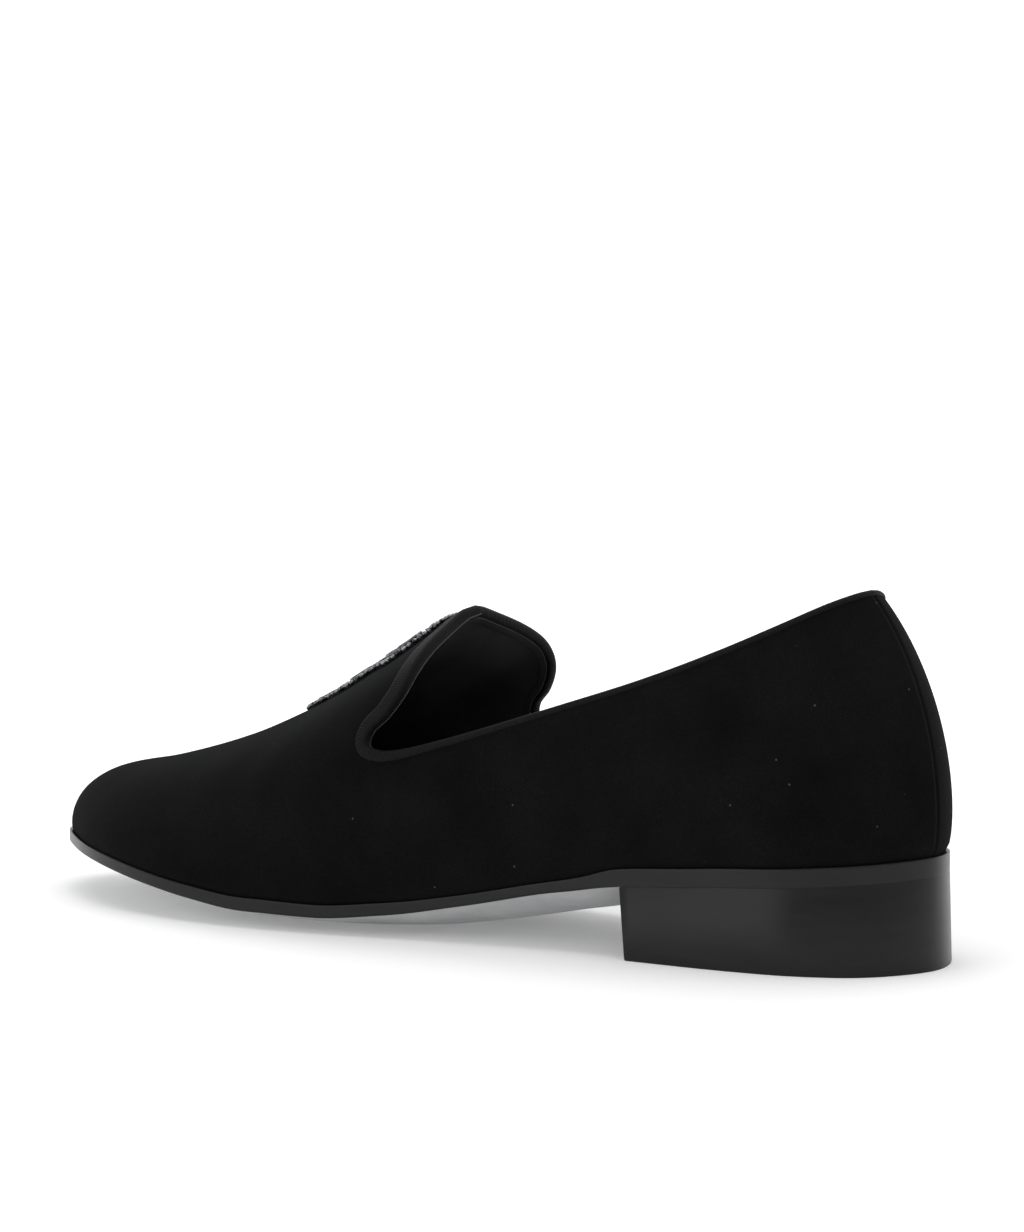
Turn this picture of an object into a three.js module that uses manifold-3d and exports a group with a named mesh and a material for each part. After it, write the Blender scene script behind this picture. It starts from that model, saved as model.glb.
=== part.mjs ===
// Embellished slip-on loafer, left shoe, standing empty.
// Millimetres, +Z up, toe towards -X, heel towards +X, outer side of the foot towards -Y.
// The origin is on the floor, under the middle of the shoe.
import * as THREE from 'three';
import Module from 'manifold-3d';

const wasm = await Module();
wasm.setup();

// Driving dimensions of the sole.
const soleLength = 283;          // toe tip to the back of the heel seat
const ballWidth = 100;           // outsole across the ball of the foot
const seatWidth = 67;            // outsole across the heel seat
const heelHeight = 24.4;         // floor to the outsole's underside at the back
const heelLength = 75;           // back of the seat to the heel's breast
const breastRake = 2;            // the breast leans back by this at the floor
const heelFlare = 0.5;           // the heel spreads by this towards the floor
const toeSpring = 12.6;          // floor to the outsole's underside at the toe tip
const soleThickness = 3.7;       // outsole at its edge, in the forefoot
const seatThickness = 4.9;       // outsole at its edge, over the heel
const thinEdge = 2.9;            // outsole at its edge, where it is trimmed thin in the waist
const edgeLift = 5;              // how far the waist's edges stand above its middle
const flatShare = 0.3;           // of the half width: the underside is flat this far out
const insoleThickness = 2;

// Driving dimensions of the upper.
const wall = 2.2;                // pile cloth, stiffener and lining together
const wallSwell = 2;             // how far the wall leans out over the sole
const tongueHeight = 85.9;       // floor to the tongue's peak
const collarHeight = 98.3;       // floor to the collar at the back seam
const featherInset = 1.2;        // the upper stands in from the sole's edge by this
const bindingAtTongue = 4.8;     // ribbon binding's width along the tongue
const bindingAtQuarter = 2;      // and along the collar
const bindingProud = 0.5;        // how far the binding stands off the wall, inside and out
const ornamentLength = 52;       // bead-work on the vamp, along the shoe
const ornamentWidth = 40;
const ornamentRelief = 1.5;
const ornamentSetback = 5.6;     // bead-work's rear end, forward of the tongue's peak
const tonguePeak = 145;          // back of the seat to the tongue's peak

// Clearances and fineness.
const gap = 0.3;                 // between two pieces that meet
const cutDepth = 9;              // how far a cutting form runs below what it cuts
const stationsPerRow = 3;        // along the outline, for each row of its table
const wallSteps = 13;            // up the wall
const crossSteps = 10;           // across the sole
const heelSteps = 16;            // from the heel's back to its breast
const mouthSteps = 64;           // along the opening's edge

const ballHalf = ballWidth / 2;
const seatHalf = seatWidth / 2;
const breastAt = heelLength / soleLength;
const aboveShoe = 1.5 * collarHeight;    // cutting shapes run up to this height

// A table of sections. The first column is the place, and each other column is read
// off a smooth curve through its rows that doesn't overshoot them.
function sections(columns, rows) {
  const at = rows.map((row) => row[0]);
  const table = {};
  columns.slice(1).forEach((name, i) => {
    table[name] = smoothTrack(at, rows.map((row) => row[i + 1]));
  });
  return table;
}

function smoothTrack(at, value) {
  const last = at.length - 1;
  const slope = at.slice(1).map((x, i) => (value[i + 1] - value[i]) / (x - at[i]));
  const tangent = at.map((_, i) => {
    if (i === 0 || i === last) return slope[Math.min(i, last - 1)];
    if (slope[i - 1] * slope[i] <= 0) return 0;
    return 2 * slope[i - 1] * slope[i] / (slope[i - 1] + slope[i]);
  });
  return (x) => {
    const clamped = THREE.MathUtils.clamp(x, at[0], at[last]);
    let i = 0;
    while (i < last - 1 && clamped > at[i + 1]) i += 1;
    const span = at[i + 1] - at[i];
    const t = (clamped - at[i]) / span;
    const start = (1 + 2 * t) * (1 - t) ** 2;
    const end = t * t * (3 - 2 * t);
    return start * value[i] + end * value[i + 1]
      + span * (t * (1 - t) ** 2 * tangent[i] - t * t * (1 - t) * tangent[i + 1]);
  };
}

// Outline of the sole from above. Places are shares of the length from the heel's back.
// Half widths are shares of the seat's half width where seat is 1, and of the ball's where it is 0.
const outlineRows = [
  // at, outer, inner, seat
  [0.000, 0.00, 0.00, 1],
  [0.030, 0.60, 0.60, 1],
  [0.087, 0.88, 0.88, 1],
  [0.164, 0.99, 0.97, 1],
  [0.256, 1.02, 0.96, 1],
  [0.339, 0.70, 0.62, 0],
  [0.420, 0.76, 0.63, 0],
  [0.533, 0.89, 0.75, 0],
  [0.626, 0.99, 0.88, 0],
  [0.707, 1.02, 0.97, 0],
  [0.799, 0.96, 0.95, 0],
  [0.880, 0.79, 0.78, 0],
  [0.944, 0.52, 0.53, 0],
  [0.978, 0.31, 0.34, 0],
  [1.000, 0.00, 0.00, 0],
];

// Underside and edge of the outsole. heel is a share of the heel's height, toe of the toe spring,
// lift of the edge lift, and seat and thin say how much of the thickness is the seat's or the thin edge's.
const profile = sections(['at', 'heel', 'toe', 'lift', 'seat', 'thin'], [
  [0.000, 1.000, 0.00, 0.00, 1, 0],
  [0.090, 0.925, 0.00, 0.00, 1, 0],
  [0.180, 0.850, 0.00, 0.04, 1, 0],
  [0.266, 0.610, 0.00, 0.85, 0.85, 0],
  [0.306, 0.450, 0.00, 1.30, 0.10, 0.55],
  [0.351, 0.350, 0.00, 1.36, 0, 1],
  [0.433, 0.165, 0.00, 1.28, 0, 0.9],
  [0.513, 0.035, 0.00, 1.12, 0, 0.4],
  [0.584, 0.000, 0.00, 0.90, 0, 0.2],
  [0.656, 0.000, 0.00, 0.95, 0, 0],
  [0.726, 0.000, 0.20, 0.83, 0, 0.15],
  [0.776, 0.000, 0.40, 0.71, 0, 0.35],
  [0.830, 0.000, 0.63, 0.55, 0, 0.45],
  [0.891, 0.000, 0.82, 0.47, 0, 0.7],
  [0.955, 0.000, 0.94, 0.33, 0, 0.6],
  [1.000, 0.000, 1.00, 0.10, 0, 0.4],
]);

// Ribs of the upper, from the sole's edge up to the ridge line over the foot.
// top is where a rib meets the ridge. high is that point's height as a share of the tongue's height.
const ridgeLine = sections(['at', 'top', 'high'], [
  [0.00, 0.184, 1.300],
  [0.06, 0.200, 1.300],
  [0.15, 0.246, 1.290],
  [0.25, 0.297, 1.260],
  [0.349, 0.359, 1.200],
  [0.430, 0.435, 1.110],
  [0.512, 0.512, 1.000],
  [0.574, 0.574, 0.873],
  [0.636, 0.636, 0.744],
  [0.697, 0.697, 0.643],
  [0.758, 0.758, 0.559],
  [0.820, 0.820, 0.493],
  [0.881, 0.881, 0.441],
  [0.940, 0.936, 0.404],
  [0.970, 0.962, 0.364],
  [1.00, 0.985, 0.300],
]);

// How a rib runs up either side. swell is how far it leans out over the sole, and hollow how far it is
// drawn in below the ridge, both as shares of the wall's swell. A larger shoulder keeps it upright for
// longer, and a larger crown rounds the ridge more. The inner side is squarer at the tongue.
const outerRibs = sections(['at', 'swell', 'shoulder', 'crown', 'hollow'], [
  [0.00, 0.85, 2.4, 2.0, 0],
  [0.06, 1.20, 2.2, 2.0, 0],
  [0.15, 1.35, 2.35, 2.0, 0],
  [0.25, 1.20, 2.8, 1.9, 0],
  [0.349, 1.20, 3.4, 1.7, 0.3],
  [0.430, 1.40, 4.4, 1.6, 1.2],
  [0.512, 1.50, 5.7, 1.7, 3.0],
  [0.574, 1.20, 4.7, 1.6, 1.8],
  [0.636, 0.95, 4.0, 1.55, 0.7],
  [0.697, 0.85, 3.2, 1.6, 0],
  [0.758, 0.75, 2.8, 1.7, 0],
  [0.820, 0.60, 2.6, 1.8, 0],
  [0.881, 0.50, 2.6, 1.9, 0],
  [0.940, 0.45, 2.7, 2.0, 0],
  [0.970, 0.40, 2.7, 2.0, 0],
  [1.00, 0.40, 2.6, 2.0, 0],
]);
const innerRibs = sections(['at', 'swell', 'shoulder', 'crown', 'hollow'], [
  [0.00, 0.85, 2.4, 2.0, 0],
  [0.06, 1.30, 2.2, 2.0, 0],
  [0.15, 1.50, 2.35, 2.0, 0],
  [0.25, 1.50, 2.8, 1.9, 0],
  [0.349, 1.40, 4.2, 1.6, 0.3],
  [0.430, 1.20, 8.0, 1.4, 1.8],
  [0.512, 1.00, 14.0, 1.3, 4.5],
  [0.574, 0.95, 8.5, 1.4, 2.6],
  [0.636, 0.90, 5.0, 1.5, 0.8],
  [0.697, 0.85, 3.4, 1.6, 0],
  [0.758, 0.75, 2.8, 1.7, 0],
  [0.820, 0.60, 2.6, 1.8, 0],
  [0.881, 0.50, 2.6, 1.9, 0],
  [0.940, 0.45, 2.7, 2.0, 0],
  [0.970, 0.40, 2.7, 2.0, 0],
  [1.00, 0.40, 2.6, 2.0, 0],
]);

// Free edge of the opening from the side. high is a share of the tongue's height, collar adds a share
// of what the collar stands above it, and wide says how much of the binding's width is the tongue's.
// The first and last row lie outside the upper, so the curve leaves it cleanly.
const mouthRows = [
  // at, high, collar, wide
  [0.511, 1.060, 0.00, 1.0],
  [0.512, 1.000, 0.00, 1.0],
  [0.507, 0.930, 0.00, 1.0],
  [0.502, 0.850, 0.00, 1.0],
  [0.503, 0.770, 0.00, 0.90],
  [0.514, 0.695, 0.00, 0.75],
  [0.529, 0.642, 0.00, 0.60],
  [0.530, 0.606, 0.00, 0.50],
  [0.517, 0.590, 0.00, 0.40],
  [0.499, 0.594, 0.00, 0.28],
  [0.459, 0.628, 0.00, 0.10],
  [0.331, 0.766, 0.00, 0.00],
  [0.254, 0.851, 0.00, 0.00],
  [0.184, 0.942, 0.00, 0.00],
  [0.123, 1.000, 0.25, 0.00],
  [0.071, 1.000, 0.92, 0.00],
  [0.055, 1.000, 1.16, 0.00],
  [-0.03, 1.000, 1.90, 0.00],
];

// Lobed outline of the bead-work from above. at is a share of its length from the rear,
// and wide a share of its half width.
const ornamentRows = [
  // at, wide
  [0.00, 0.00],
  [0.02, 0.55],
  [0.10, 0.92],
  [0.22, 0.98],
  [0.32, 0.80],
  [0.42, 0.74],
  [0.54, 0.80],
  [0.66, 0.60],
  [0.76, 0.38],
  [0.86, 0.36],
  [0.95, 0.20],
  [1.00, 0.00],
];

// Places on the shoe.
function lengthwise(share) {
  return soleLength * (0.5 - share);
}

function shareOf(x) {
  return 0.5 - x / soleLength;
}

const outlineCurve = outlineLoop();

function outlineLoop() {
  const side = (row, column, sign) => {
    const half = row[3] ? seatHalf : ballHalf;
    return new THREE.Vector3(lengthwise(row[0]), sign * row[column] * half, 0);
  };
  const outer = outlineRows.map((row) => side(row, 1, -1));
  const inner = outlineRows.slice(1, -1).map((row) => side(row, 2, 1)).reverse();
  return new THREE.CatmullRomCurve3([...outer, ...inner], true, 'centripetal');
}

// A point of the outline, in from the edge by inset. along runs from the heel's back to the toe tip.
function outlinePoint(along, sign, inset = 0) {
  const onCentre = along === 0 || along === 1;
  const t = sign < 0 || onCentre ? along / 2 : 1 - along / 2;
  const point = outlineCurve.getPoint(t);
  const heading = outlineCurve.getTangent(t);
  point.x += heading.y * inset;
  point.y -= heading.x * inset;
  if (onCentre) point.y = 0;
  return point;
}

function halfWidthAt(x, sign) {
  const rows = outlineRows.length - 1;
  let low = 0;
  let high = rows;
  while (high - low > 1e-4) {
    const middle = (low + high) / 2;
    if (outlinePoint(middle / rows, sign).x > x) low = middle;
    else high = middle;
  }
  return Math.abs(outlinePoint(low / rows, sign).y);
}

// Height of the outsole's underside: flat across the middle, with its edges lifted.
function underside(share, across) {
  const middle = heelHeight * profile.heel(share) + toeSpring * profile.toe(share);
  const outwards = Math.max(0, (Math.abs(across) - flatShare) / (1 - flatShare));
  return middle + edgeLift * profile.lift(share) * outwards ** 2;
}

function topside(share, across) {
  const seat = profile.seat(share);
  const thin = profile.thin(share);
  return underside(share, across) + seatThickness * seat + thinEdge * thin
    + soleThickness * (1 - seat - thin);
}

const stations = stationList(outlineRows.length - 1, stationsPerRow);

function stationList(rows, perRow) {
  const count = rows * perRow;
  return Array.from({ length: count + 1 }, (_, i) => i / count);
}

// Turns rings of points into a closed mesh. Each ring runs round a section, and the first
// and last ring may close to an edge. Repeated points become one vertex.
class Mesher {
  constructor() {
    this.points = [];
    this.faces = [];
    this.seen = new Map();
  }

  vertex(point) {
    const key = [point.x, point.y, point.z].map((v) => Math.round(v * 1e4)).join(' ');
    if (!this.seen.has(key)) {
      this.seen.set(key, this.points.length);
      this.points.push(point);
    }
    return this.seen.get(key);
  }

  face(a, b, c) {
    if (a !== b && b !== c && c !== a) this.faces.push([a, b, c]);
  }

  quad(a, b, c, d) {
    this.face(a, b, c);
    this.face(a, c, d);
  }

  solid() {
    const vertProperties = Float32Array.from(this.points.flatMap((p) => [p.x, p.y, p.z]));
    const triVerts = Uint32Array.from(this.faces.flat());
    const mesh = new wasm.Mesh({ numProp: 3, vertProperties, triVerts });
    return new wasm.Manifold(mesh);
  }
}

// A plate between two surfaces over the outline, such as the outsole. low and high give a height
// for a share of the length and a place across from -1 to 1.
function plate(low, high, inset) {
  const mesher = new Mesher();
  const rings = stations.map((along) => {
    const outer = outlinePoint(along, -1, inset);
    const inner = outlinePoint(along, 1, inset);
    const rail = (height) => Array.from({ length: crossSteps + 1 }, (_, k) => {
      const t = k / crossSteps;
      const point = outer.clone().lerp(inner, t);
      point.z = height(shareOf(point.x), acrossAt(point, outer, inner, inset));
      return point;
    });
    return { low: rail(low), high: rail(high) };
  });
  const ids = rings.map((ring) => ({
    low: ring.low.map((p) => mesher.vertex(p)),
    high: ring.high.map((p) => mesher.vertex(p)),
  }));
  for (let i = 0; i < ids.length - 1; i += 1) {
    const a = ids[i];
    const b = ids[i + 1];
    for (let k = 0; k < crossSteps; k += 1) {
      mesher.quad(a.low[k], b.low[k], b.low[k + 1], a.low[k + 1]);
      mesher.quad(a.high[k], a.high[k + 1], b.high[k + 1], b.high[k]);
    }
    mesher.quad(a.low[0], a.high[0], b.high[0], b.low[0]);
    mesher.quad(a.low[crossSteps], b.low[crossSteps], b.high[crossSteps], a.high[crossSteps]);
  }
  return mesher.solid();
}

// Place across the full-width sole, from -1 at the outer edge to 1 at the inner one.
function acrossAt(point, outer, inner, inset) {
  const half = (point.y < 0 ? Math.abs(outer.y) : Math.abs(inner.y)) + inset;
  return half < 1e-6 ? 0 : THREE.MathUtils.clamp(point.y / half, -1, 1);
}

function outsole() {
  return plate(underside, topside, 0);
}

function insole() {
  const floor = (share, across) => topside(share, across) + gap;
  const surface = (share, across) => floor(share, across) + insoleThickness;
  return plate(floor, surface, featherInset + wall + gap);
}

// The heel block: the seat's outline from the back to the breast, spreading towards the floor.
function heel() {
  const mesher = new Mesher();
  const breast = lengthwise(breastAt);
  const rows = Array.from({ length: heelSteps + 1 }, (_, i) => {
    const share = breastAt * (1 - Math.cos(Math.PI * i / (2 * heelSteps)));
    const x = lengthwise(share);
    const across = Array.from({ length: crossSteps + 1 }, (_, k) => 2 * k / crossSteps - 1);
    const edge = (sign) => (i === 0 ? 0 : halfWidthAt(x, sign));
    const top = across.map((t) => {
      const y = t * edge(Math.sign(t) || 1);
      return new THREE.Vector3(x, y, underside(share, t) - gap);
    });
    const spread = heelFlare * (1 - i / heelSteps);
    const foot = across.map((t) => {
      const y = t * (edge(Math.sign(t) || 1) + (i === 0 ? 0 : heelFlare));
      return new THREE.Vector3(x + spread + breastRake * (i / heelSteps), y, 0);
    });
    return { top, foot };
  });
  const ids = rows.map((row) => ({
    top: row.top.map((p) => mesher.vertex(p)),
    foot: row.foot.map((p) => mesher.vertex(p)),
  }));
  for (let i = 0; i < heelSteps; i += 1) {
    const a = ids[i];
    const b = ids[i + 1];
    for (let k = 0; k < crossSteps; k += 1) {
      mesher.quad(a.foot[k], b.foot[k], b.foot[k + 1], a.foot[k + 1]);
      mesher.quad(a.top[k], a.top[k + 1], b.top[k + 1], b.top[k]);
    }
    mesher.quad(a.foot[0], a.top[0], b.top[0], b.foot[0]);
    mesher.quad(a.foot[crossSteps], b.foot[crossSteps], b.top[crossSteps], a.top[crossSteps]);
  }
  const front = ids[heelSteps];
  for (let k = 0; k < crossSteps; k += 1) {
    mesher.quad(front.foot[k], front.top[k], front.top[k + 1], front.foot[k + 1]);
  }
  return mesher.solid();
}

// A point of the upper's outer face. along picks the rib, and climb runs from the sole's edge
// to the ridge over the foot.
function upperPoint(along, climb, side) {
  const sign = along === 0 || along === 1 ? -1 : side;
  const foot = outlinePoint(along, sign, featherInset);
  const opposite = outlinePoint(along, -sign, featherInset);
  const share = shareOf((foot.x + opposite.x) / 2);
  const half = Math.abs(outlinePoint(along, sign).y);
  foot.z = topside(shareOf(foot.x), half ? foot.y / half : 0) + gap;
  const high = tongueHeight * ridgeLine.high(share);
  const ridge = new THREE.Vector3(lengthwise(ridgeLine.top(share)), 0, high);
  const ribs = sign < 0 ? outerRibs : innerRibs;
  const rise = Math.sin(climb * Math.PI / 2);
  const inwards = 1 - (1 - rise ** ribs.shoulder(share)) ** (1 / ribs.crown(share));
  const lean = wallSwell * (ribs.swell(share) * swellShape(rise) - ribs.hollow(share) * hollowShape(rise));
  const heading = new THREE.Vector3(ridge.x - foot.x, ridge.y - foot.y, 0).normalize();
  const point = foot.clone();
  point.x += (ridge.x - foot.x) * inwards - heading.x * lean;
  point.y += (ridge.y - foot.y) * inwards - heading.y * lean;
  point.z += (ridge.z - foot.z) * rise;
  return point;
}

// The wall leans out most at a fifth of its height, where this is 1.
function swellShape(rise) {
  const most = Math.sqrt(0.2) * 0.8 ** 2;
  return Math.sqrt(rise) * (1 - rise) ** 2 / most;
}

// It is drawn in most just below the ridge, at sixteen seventeenths of its height, where this is 1.
function hollowShape(rise) {
  const most = (16 / 17) ** 16 / 17;
  return rise ** 16 * (1 - rise) / most;
}

// The upper's outer face moved out by offset, closed underneath. The underside follows the sole's
// top, or lies drop lower.
function lastForm(offset, drop = 0) {
  const mesher = new Mesher();
  const climbs = Array.from({ length: wallSteps + 1 }, (_, j) => j / wallSteps);
  const grid = [-1, 1].map((sign) => stations.map((along) => (
    climbs.map((climb) => mesher.vertex(upperPoint(along, climb, sign)))
  )));
  const [outer, inner] = grid;
  for (let i = 0; i < stations.length - 1; i += 1) {
    for (let j = 0; j < wallSteps; j += 1) {
      mesher.quad(outer[i][j], outer[i][j + 1], outer[i + 1][j + 1], outer[i + 1][j]);
      mesher.quad(inner[i][j], inner[i + 1][j], inner[i + 1][j + 1], inner[i][j + 1]);
    }
  }
  moveOut(mesher, offset);
  const edges = grid.map((side) => side.map((rib) => rib[0]));
  const hem = drop ? lowered(mesher, edges, drop) : edges;
  if (drop) {
    joinHems(mesher, edges[0], hem[0], false);
    joinHems(mesher, edges[1], hem[1], true);
  }
  closeUnder(mesher, hem[0], hem[1], drop);
  return mesher.solid();
}

function moveOut(mesher, offset) {
  if (!offset) return;
  const normals = mesher.points.map(() => new THREE.Vector3());
  mesher.faces.forEach(([a, b, c]) => {
    const [pa, pb, pc] = [a, b, c].map((id) => mesher.points[id]);
    const normal = pb.clone().sub(pa).cross(pc.clone().sub(pa));
    [a, b, c].forEach((id) => normals[id].add(normal));
  });
  mesher.points = mesher.points.map((p, i) => p.clone().addScaledVector(normals[i].normalize(), offset));
}

function lowered(mesher, edges, drop) {
  const copies = new Map();
  const copyOf = (id) => {
    if (!copies.has(id)) {
      const point = mesher.points[id].clone();
      point.z -= drop;
      mesher.points.push(point);
      copies.set(id, mesher.points.length - 1);
    }
    return copies.get(id);
  };
  return edges.map((edge) => edge.map(copyOf));
}

function joinHems(mesher, upperEdge, lowerEdge, flip) {
  for (let i = 0; i < upperEdge.length - 1; i += 1) {
    const ring = [upperEdge[i], upperEdge[i + 1], lowerEdge[i + 1], lowerEdge[i]];
    if (flip) ring.reverse();
    mesher.quad(...ring);
  }
}

// Closes a form underneath with lines across from the outer hem to the inner one.
function closeUnder(mesher, outerHem, innerHem, drop) {
  const lines = outerHem.map((id, i) => {
    const from = mesher.points[id];
    const to = mesher.points[innerHem[i]];
    const line = [id];
    for (let k = 1; k < crossSteps; k += 1) {
      if (id === innerHem[i]) {
        line.push(id);
        continue;
      }
      const point = from.clone().lerp(to, k / crossSteps);
      const half = halfWidthAt(point.x, Math.sign(point.y) || 1);
      point.z = topside(shareOf(point.x), THREE.MathUtils.clamp(point.y / half, -1, 1)) + gap - drop;
      mesher.points.push(point);
      line.push(mesher.points.length - 1);
    }
    line.push(innerHem[i]);
    return line;
  });
  for (let i = 0; i < lines.length - 1; i += 1) {
    for (let k = 0; k < crossSteps; k += 1) {
      mesher.quad(lines[i][k], lines[i + 1][k], lines[i + 1][k + 1], lines[i][k + 1]);
    }
  }
}

// The opening seen from the side: the free edge moved down by a share of the binding's width,
// and closed above the shoe.
function mouthShape(bindings, clearance = 0) {
  const extra = collarHeight - tongueHeight;
  const points = mouthRows.map(([at, high, collar]) => (
    new THREE.Vector3(lengthwise(at), tongueHeight * high + extra * collar, 0)
  ));
  const wide = sections(['at', 'share'], mouthRows.map((row, i) => [i / (mouthRows.length - 1), row[3]]));
  const edge = new THREE.CatmullRomCurve3(points, false, 'centripetal');
  const line = Array.from({ length: mouthSteps + 1 }, (_, i) => {
    const t = i / mouthSteps;
    const width = bindingAtQuarter + (bindingAtTongue - bindingAtQuarter) * wide.share(t);
    const away = bindings * width + clearance;
    const heading = edge.getTangent(t);
    const point = edge.getPoint(t);
    return new THREE.Vector2(point.x + heading.y * away, point.y - heading.x * away);
  });
  const last = line[line.length - 1];
  const shape = [...line, new THREE.Vector2(last.x, aboveShoe), new THREE.Vector2(line[0].x, aboveShoe)];
  return new THREE.Shape(shape);
}

// A shape drawn in the side view, run straight across the shoe.
function acrossShoe(shape) {
  const geometry = new THREE.ExtrudeGeometry(shape, { depth: 2 * ballWidth, bevelEnabled: false });
  geometry.translate(0, 0, -ballWidth);
  geometry.rotateX(Math.PI / 2);
  return toSolid(geometry);
}

// A shape drawn in the view from above, run straight up.
function upThrough(shape) {
  const geometry = new THREE.ExtrudeGeometry(shape, { depth: aboveShoe, bevelEnabled: false });
  return toSolid(geometry);
}

function toSolid(geometry) {
  const mesher = new Mesher();
  const position = geometry.getAttribute('position');
  const index = geometry.index ? Array.from(geometry.index.array) : [...Array(position.count).keys()];
  const ids = index.map((i) => mesher.vertex(new THREE.Vector3().fromBufferAttribute(position, i)));
  for (let i = 0; i < ids.length; i += 3) mesher.face(ids[i], ids[i + 1], ids[i + 2]);
  return mesher.solid();
}

function upper() {
  return lastForm(0).subtract(lastForm(-wall, cutDepth)).subtract(acrossShoe(mouthShape(1, gap)));
}

// The ribbon folded over the opening's edge, as one closed band.
function toplineBinding() {
  const shell = lastForm(bindingProud).subtract(lastForm(-wall - bindingProud, cutDepth));
  return shell.intersect(acrossShoe(mouthShape(1))).subtract(acrossShoe(mouthShape(0)));
}

// Bead-work on the vamp: a low relief on the upper's own face, with a lobed outline.
function vampOrnament() {
  const rear = soleLength / 2 - tonguePeak - ornamentSetback;
  const shape = new THREE.Shape(lobedOutline(rear, ornamentLength, ornamentWidth / 2));
  const relief = lastForm(gap + ornamentRelief).subtract(lastForm(gap, cutDepth));
  return relief.intersect(upThrough(shape));
}

function lobedOutline(rear, length, half) {
  const side = ornamentRows.map(([at, wide]) => new THREE.Vector2(rear - at * length, wide * half));
  const other = side.slice(1, -1).reverse().map((p) => new THREE.Vector2(p.x, -p.y));
  const loop = [...side, ...other].map((p) => new THREE.Vector3(p.x, p.y, 0));
  const curve = new THREE.CatmullRomCurve3(loop, true, 'centripetal');
  const steps = stationsPerRow * loop.length;
  return Array.from({ length: steps }, (_, i) => {
    const point = curve.getPoint(i / steps);
    return new THREE.Vector2(point.x, point.y);
  });
}

// Materials, by piece.
const pile = new THREE.MeshStandardMaterial({ color: 0x0c0d10, roughness: 0.95, metalness: 0 });
const ribbon = new THREE.MeshStandardMaterial({ color: 0x121212, roughness: 0.6, metalness: 0 });
const beads = new THREE.MeshStandardMaterial({ color: 0x24262b, roughness: 0.3, metalness: 0.4 });
const satinBlack = new THREE.MeshStandardMaterial({ color: 0x1b1b1c, roughness: 0.38, metalness: 0 });
const soleLeather = new THREE.MeshStandardMaterial({ color: 0x2c2b2b, roughness: 0.5, metalness: 0 });
const sock = new THREE.MeshStandardMaterial({ color: 0x101010, roughness: 0.7, metalness: 0 });

function piece(name, solid, material) {
  const { vertProperties, triVerts } = solid.getMesh();
  const geometry = new THREE.BufferGeometry();
  geometry.setAttribute('position', new THREE.BufferAttribute(Float32Array.from(vertProperties), 3));
  geometry.setIndex(new THREE.BufferAttribute(Uint32Array.from(triVerts), 1));
  const mesh = new THREE.Mesh(geometry, material);
  mesh.name = name;
  return mesh;
}

const loafer = new THREE.Group();
loafer.add(piece('outsole', outsole(), soleLeather));
loafer.add(piece('heel', heel(), satinBlack));
loafer.add(piece('insole', insole(), sock));
loafer.add(piece('upper', upper(), pile));
loafer.add(piece('topline_binding', toplineBinding(), ribbon));
loafer.add(piece('vamp_ornament', vampOrnament(), beads));

// The origin goes to the middle of the shoe's box, on the floor.
const middle = new THREE.Box3().setFromObject(loafer).getCenter(new THREE.Vector3());
loafer.position.set(-middle.x, -middle.y, 0);

export default loafer;
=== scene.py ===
"""Embellished loafer: a left slip-on shoe in black velvet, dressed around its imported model.

Everything is in metres, +Z up, with the toe towards -X and the outer side of the foot towards -Y.
The shoe's form is read off the same tables of shares as the model, at a finer pitch.
"""
import math

import bpy
import numpy as np
from bpy.props import FloatProperty, FloatVectorProperty, IntProperty, PointerProperty
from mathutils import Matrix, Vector


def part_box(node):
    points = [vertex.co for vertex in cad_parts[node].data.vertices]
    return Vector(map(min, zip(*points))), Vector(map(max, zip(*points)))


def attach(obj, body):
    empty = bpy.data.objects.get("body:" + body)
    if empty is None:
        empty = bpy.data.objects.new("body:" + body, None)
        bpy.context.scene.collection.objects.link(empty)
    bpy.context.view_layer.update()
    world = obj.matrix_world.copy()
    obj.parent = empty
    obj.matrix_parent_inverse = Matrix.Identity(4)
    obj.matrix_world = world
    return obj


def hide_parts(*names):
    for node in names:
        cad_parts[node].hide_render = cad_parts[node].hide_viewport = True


bl_info = {
    "name": "Embellished Loafer",
    "version": (1, 0, 0),
    "blender": (4, 5, 0),
    "location": "3D View > Sidebar > Shoe",
    "description": "Dresses a velvet slip-on loafer with a bound topline and bead-work on its vamp",
    "category": "Add Mesh",
}

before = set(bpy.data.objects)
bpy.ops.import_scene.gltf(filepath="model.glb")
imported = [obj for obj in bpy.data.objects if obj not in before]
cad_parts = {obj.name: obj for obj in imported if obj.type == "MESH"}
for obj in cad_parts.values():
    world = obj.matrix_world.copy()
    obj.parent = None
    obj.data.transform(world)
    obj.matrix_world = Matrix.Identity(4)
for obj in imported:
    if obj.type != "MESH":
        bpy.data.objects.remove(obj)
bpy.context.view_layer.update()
MM = 0.001

# The photograph's view: degrees round from the outer side, and above the floor.
CAMERA_AZIMUTH = 36
CAMERA_ELEVATION = 7
CAMERA_DISTANCE = 1.4

# Stations along the binding on either side, and where its selvedge runs, as a share of its width.
BINDING_STATIONS = 300
SELVEDGE_SHARE = 0.36

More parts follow.
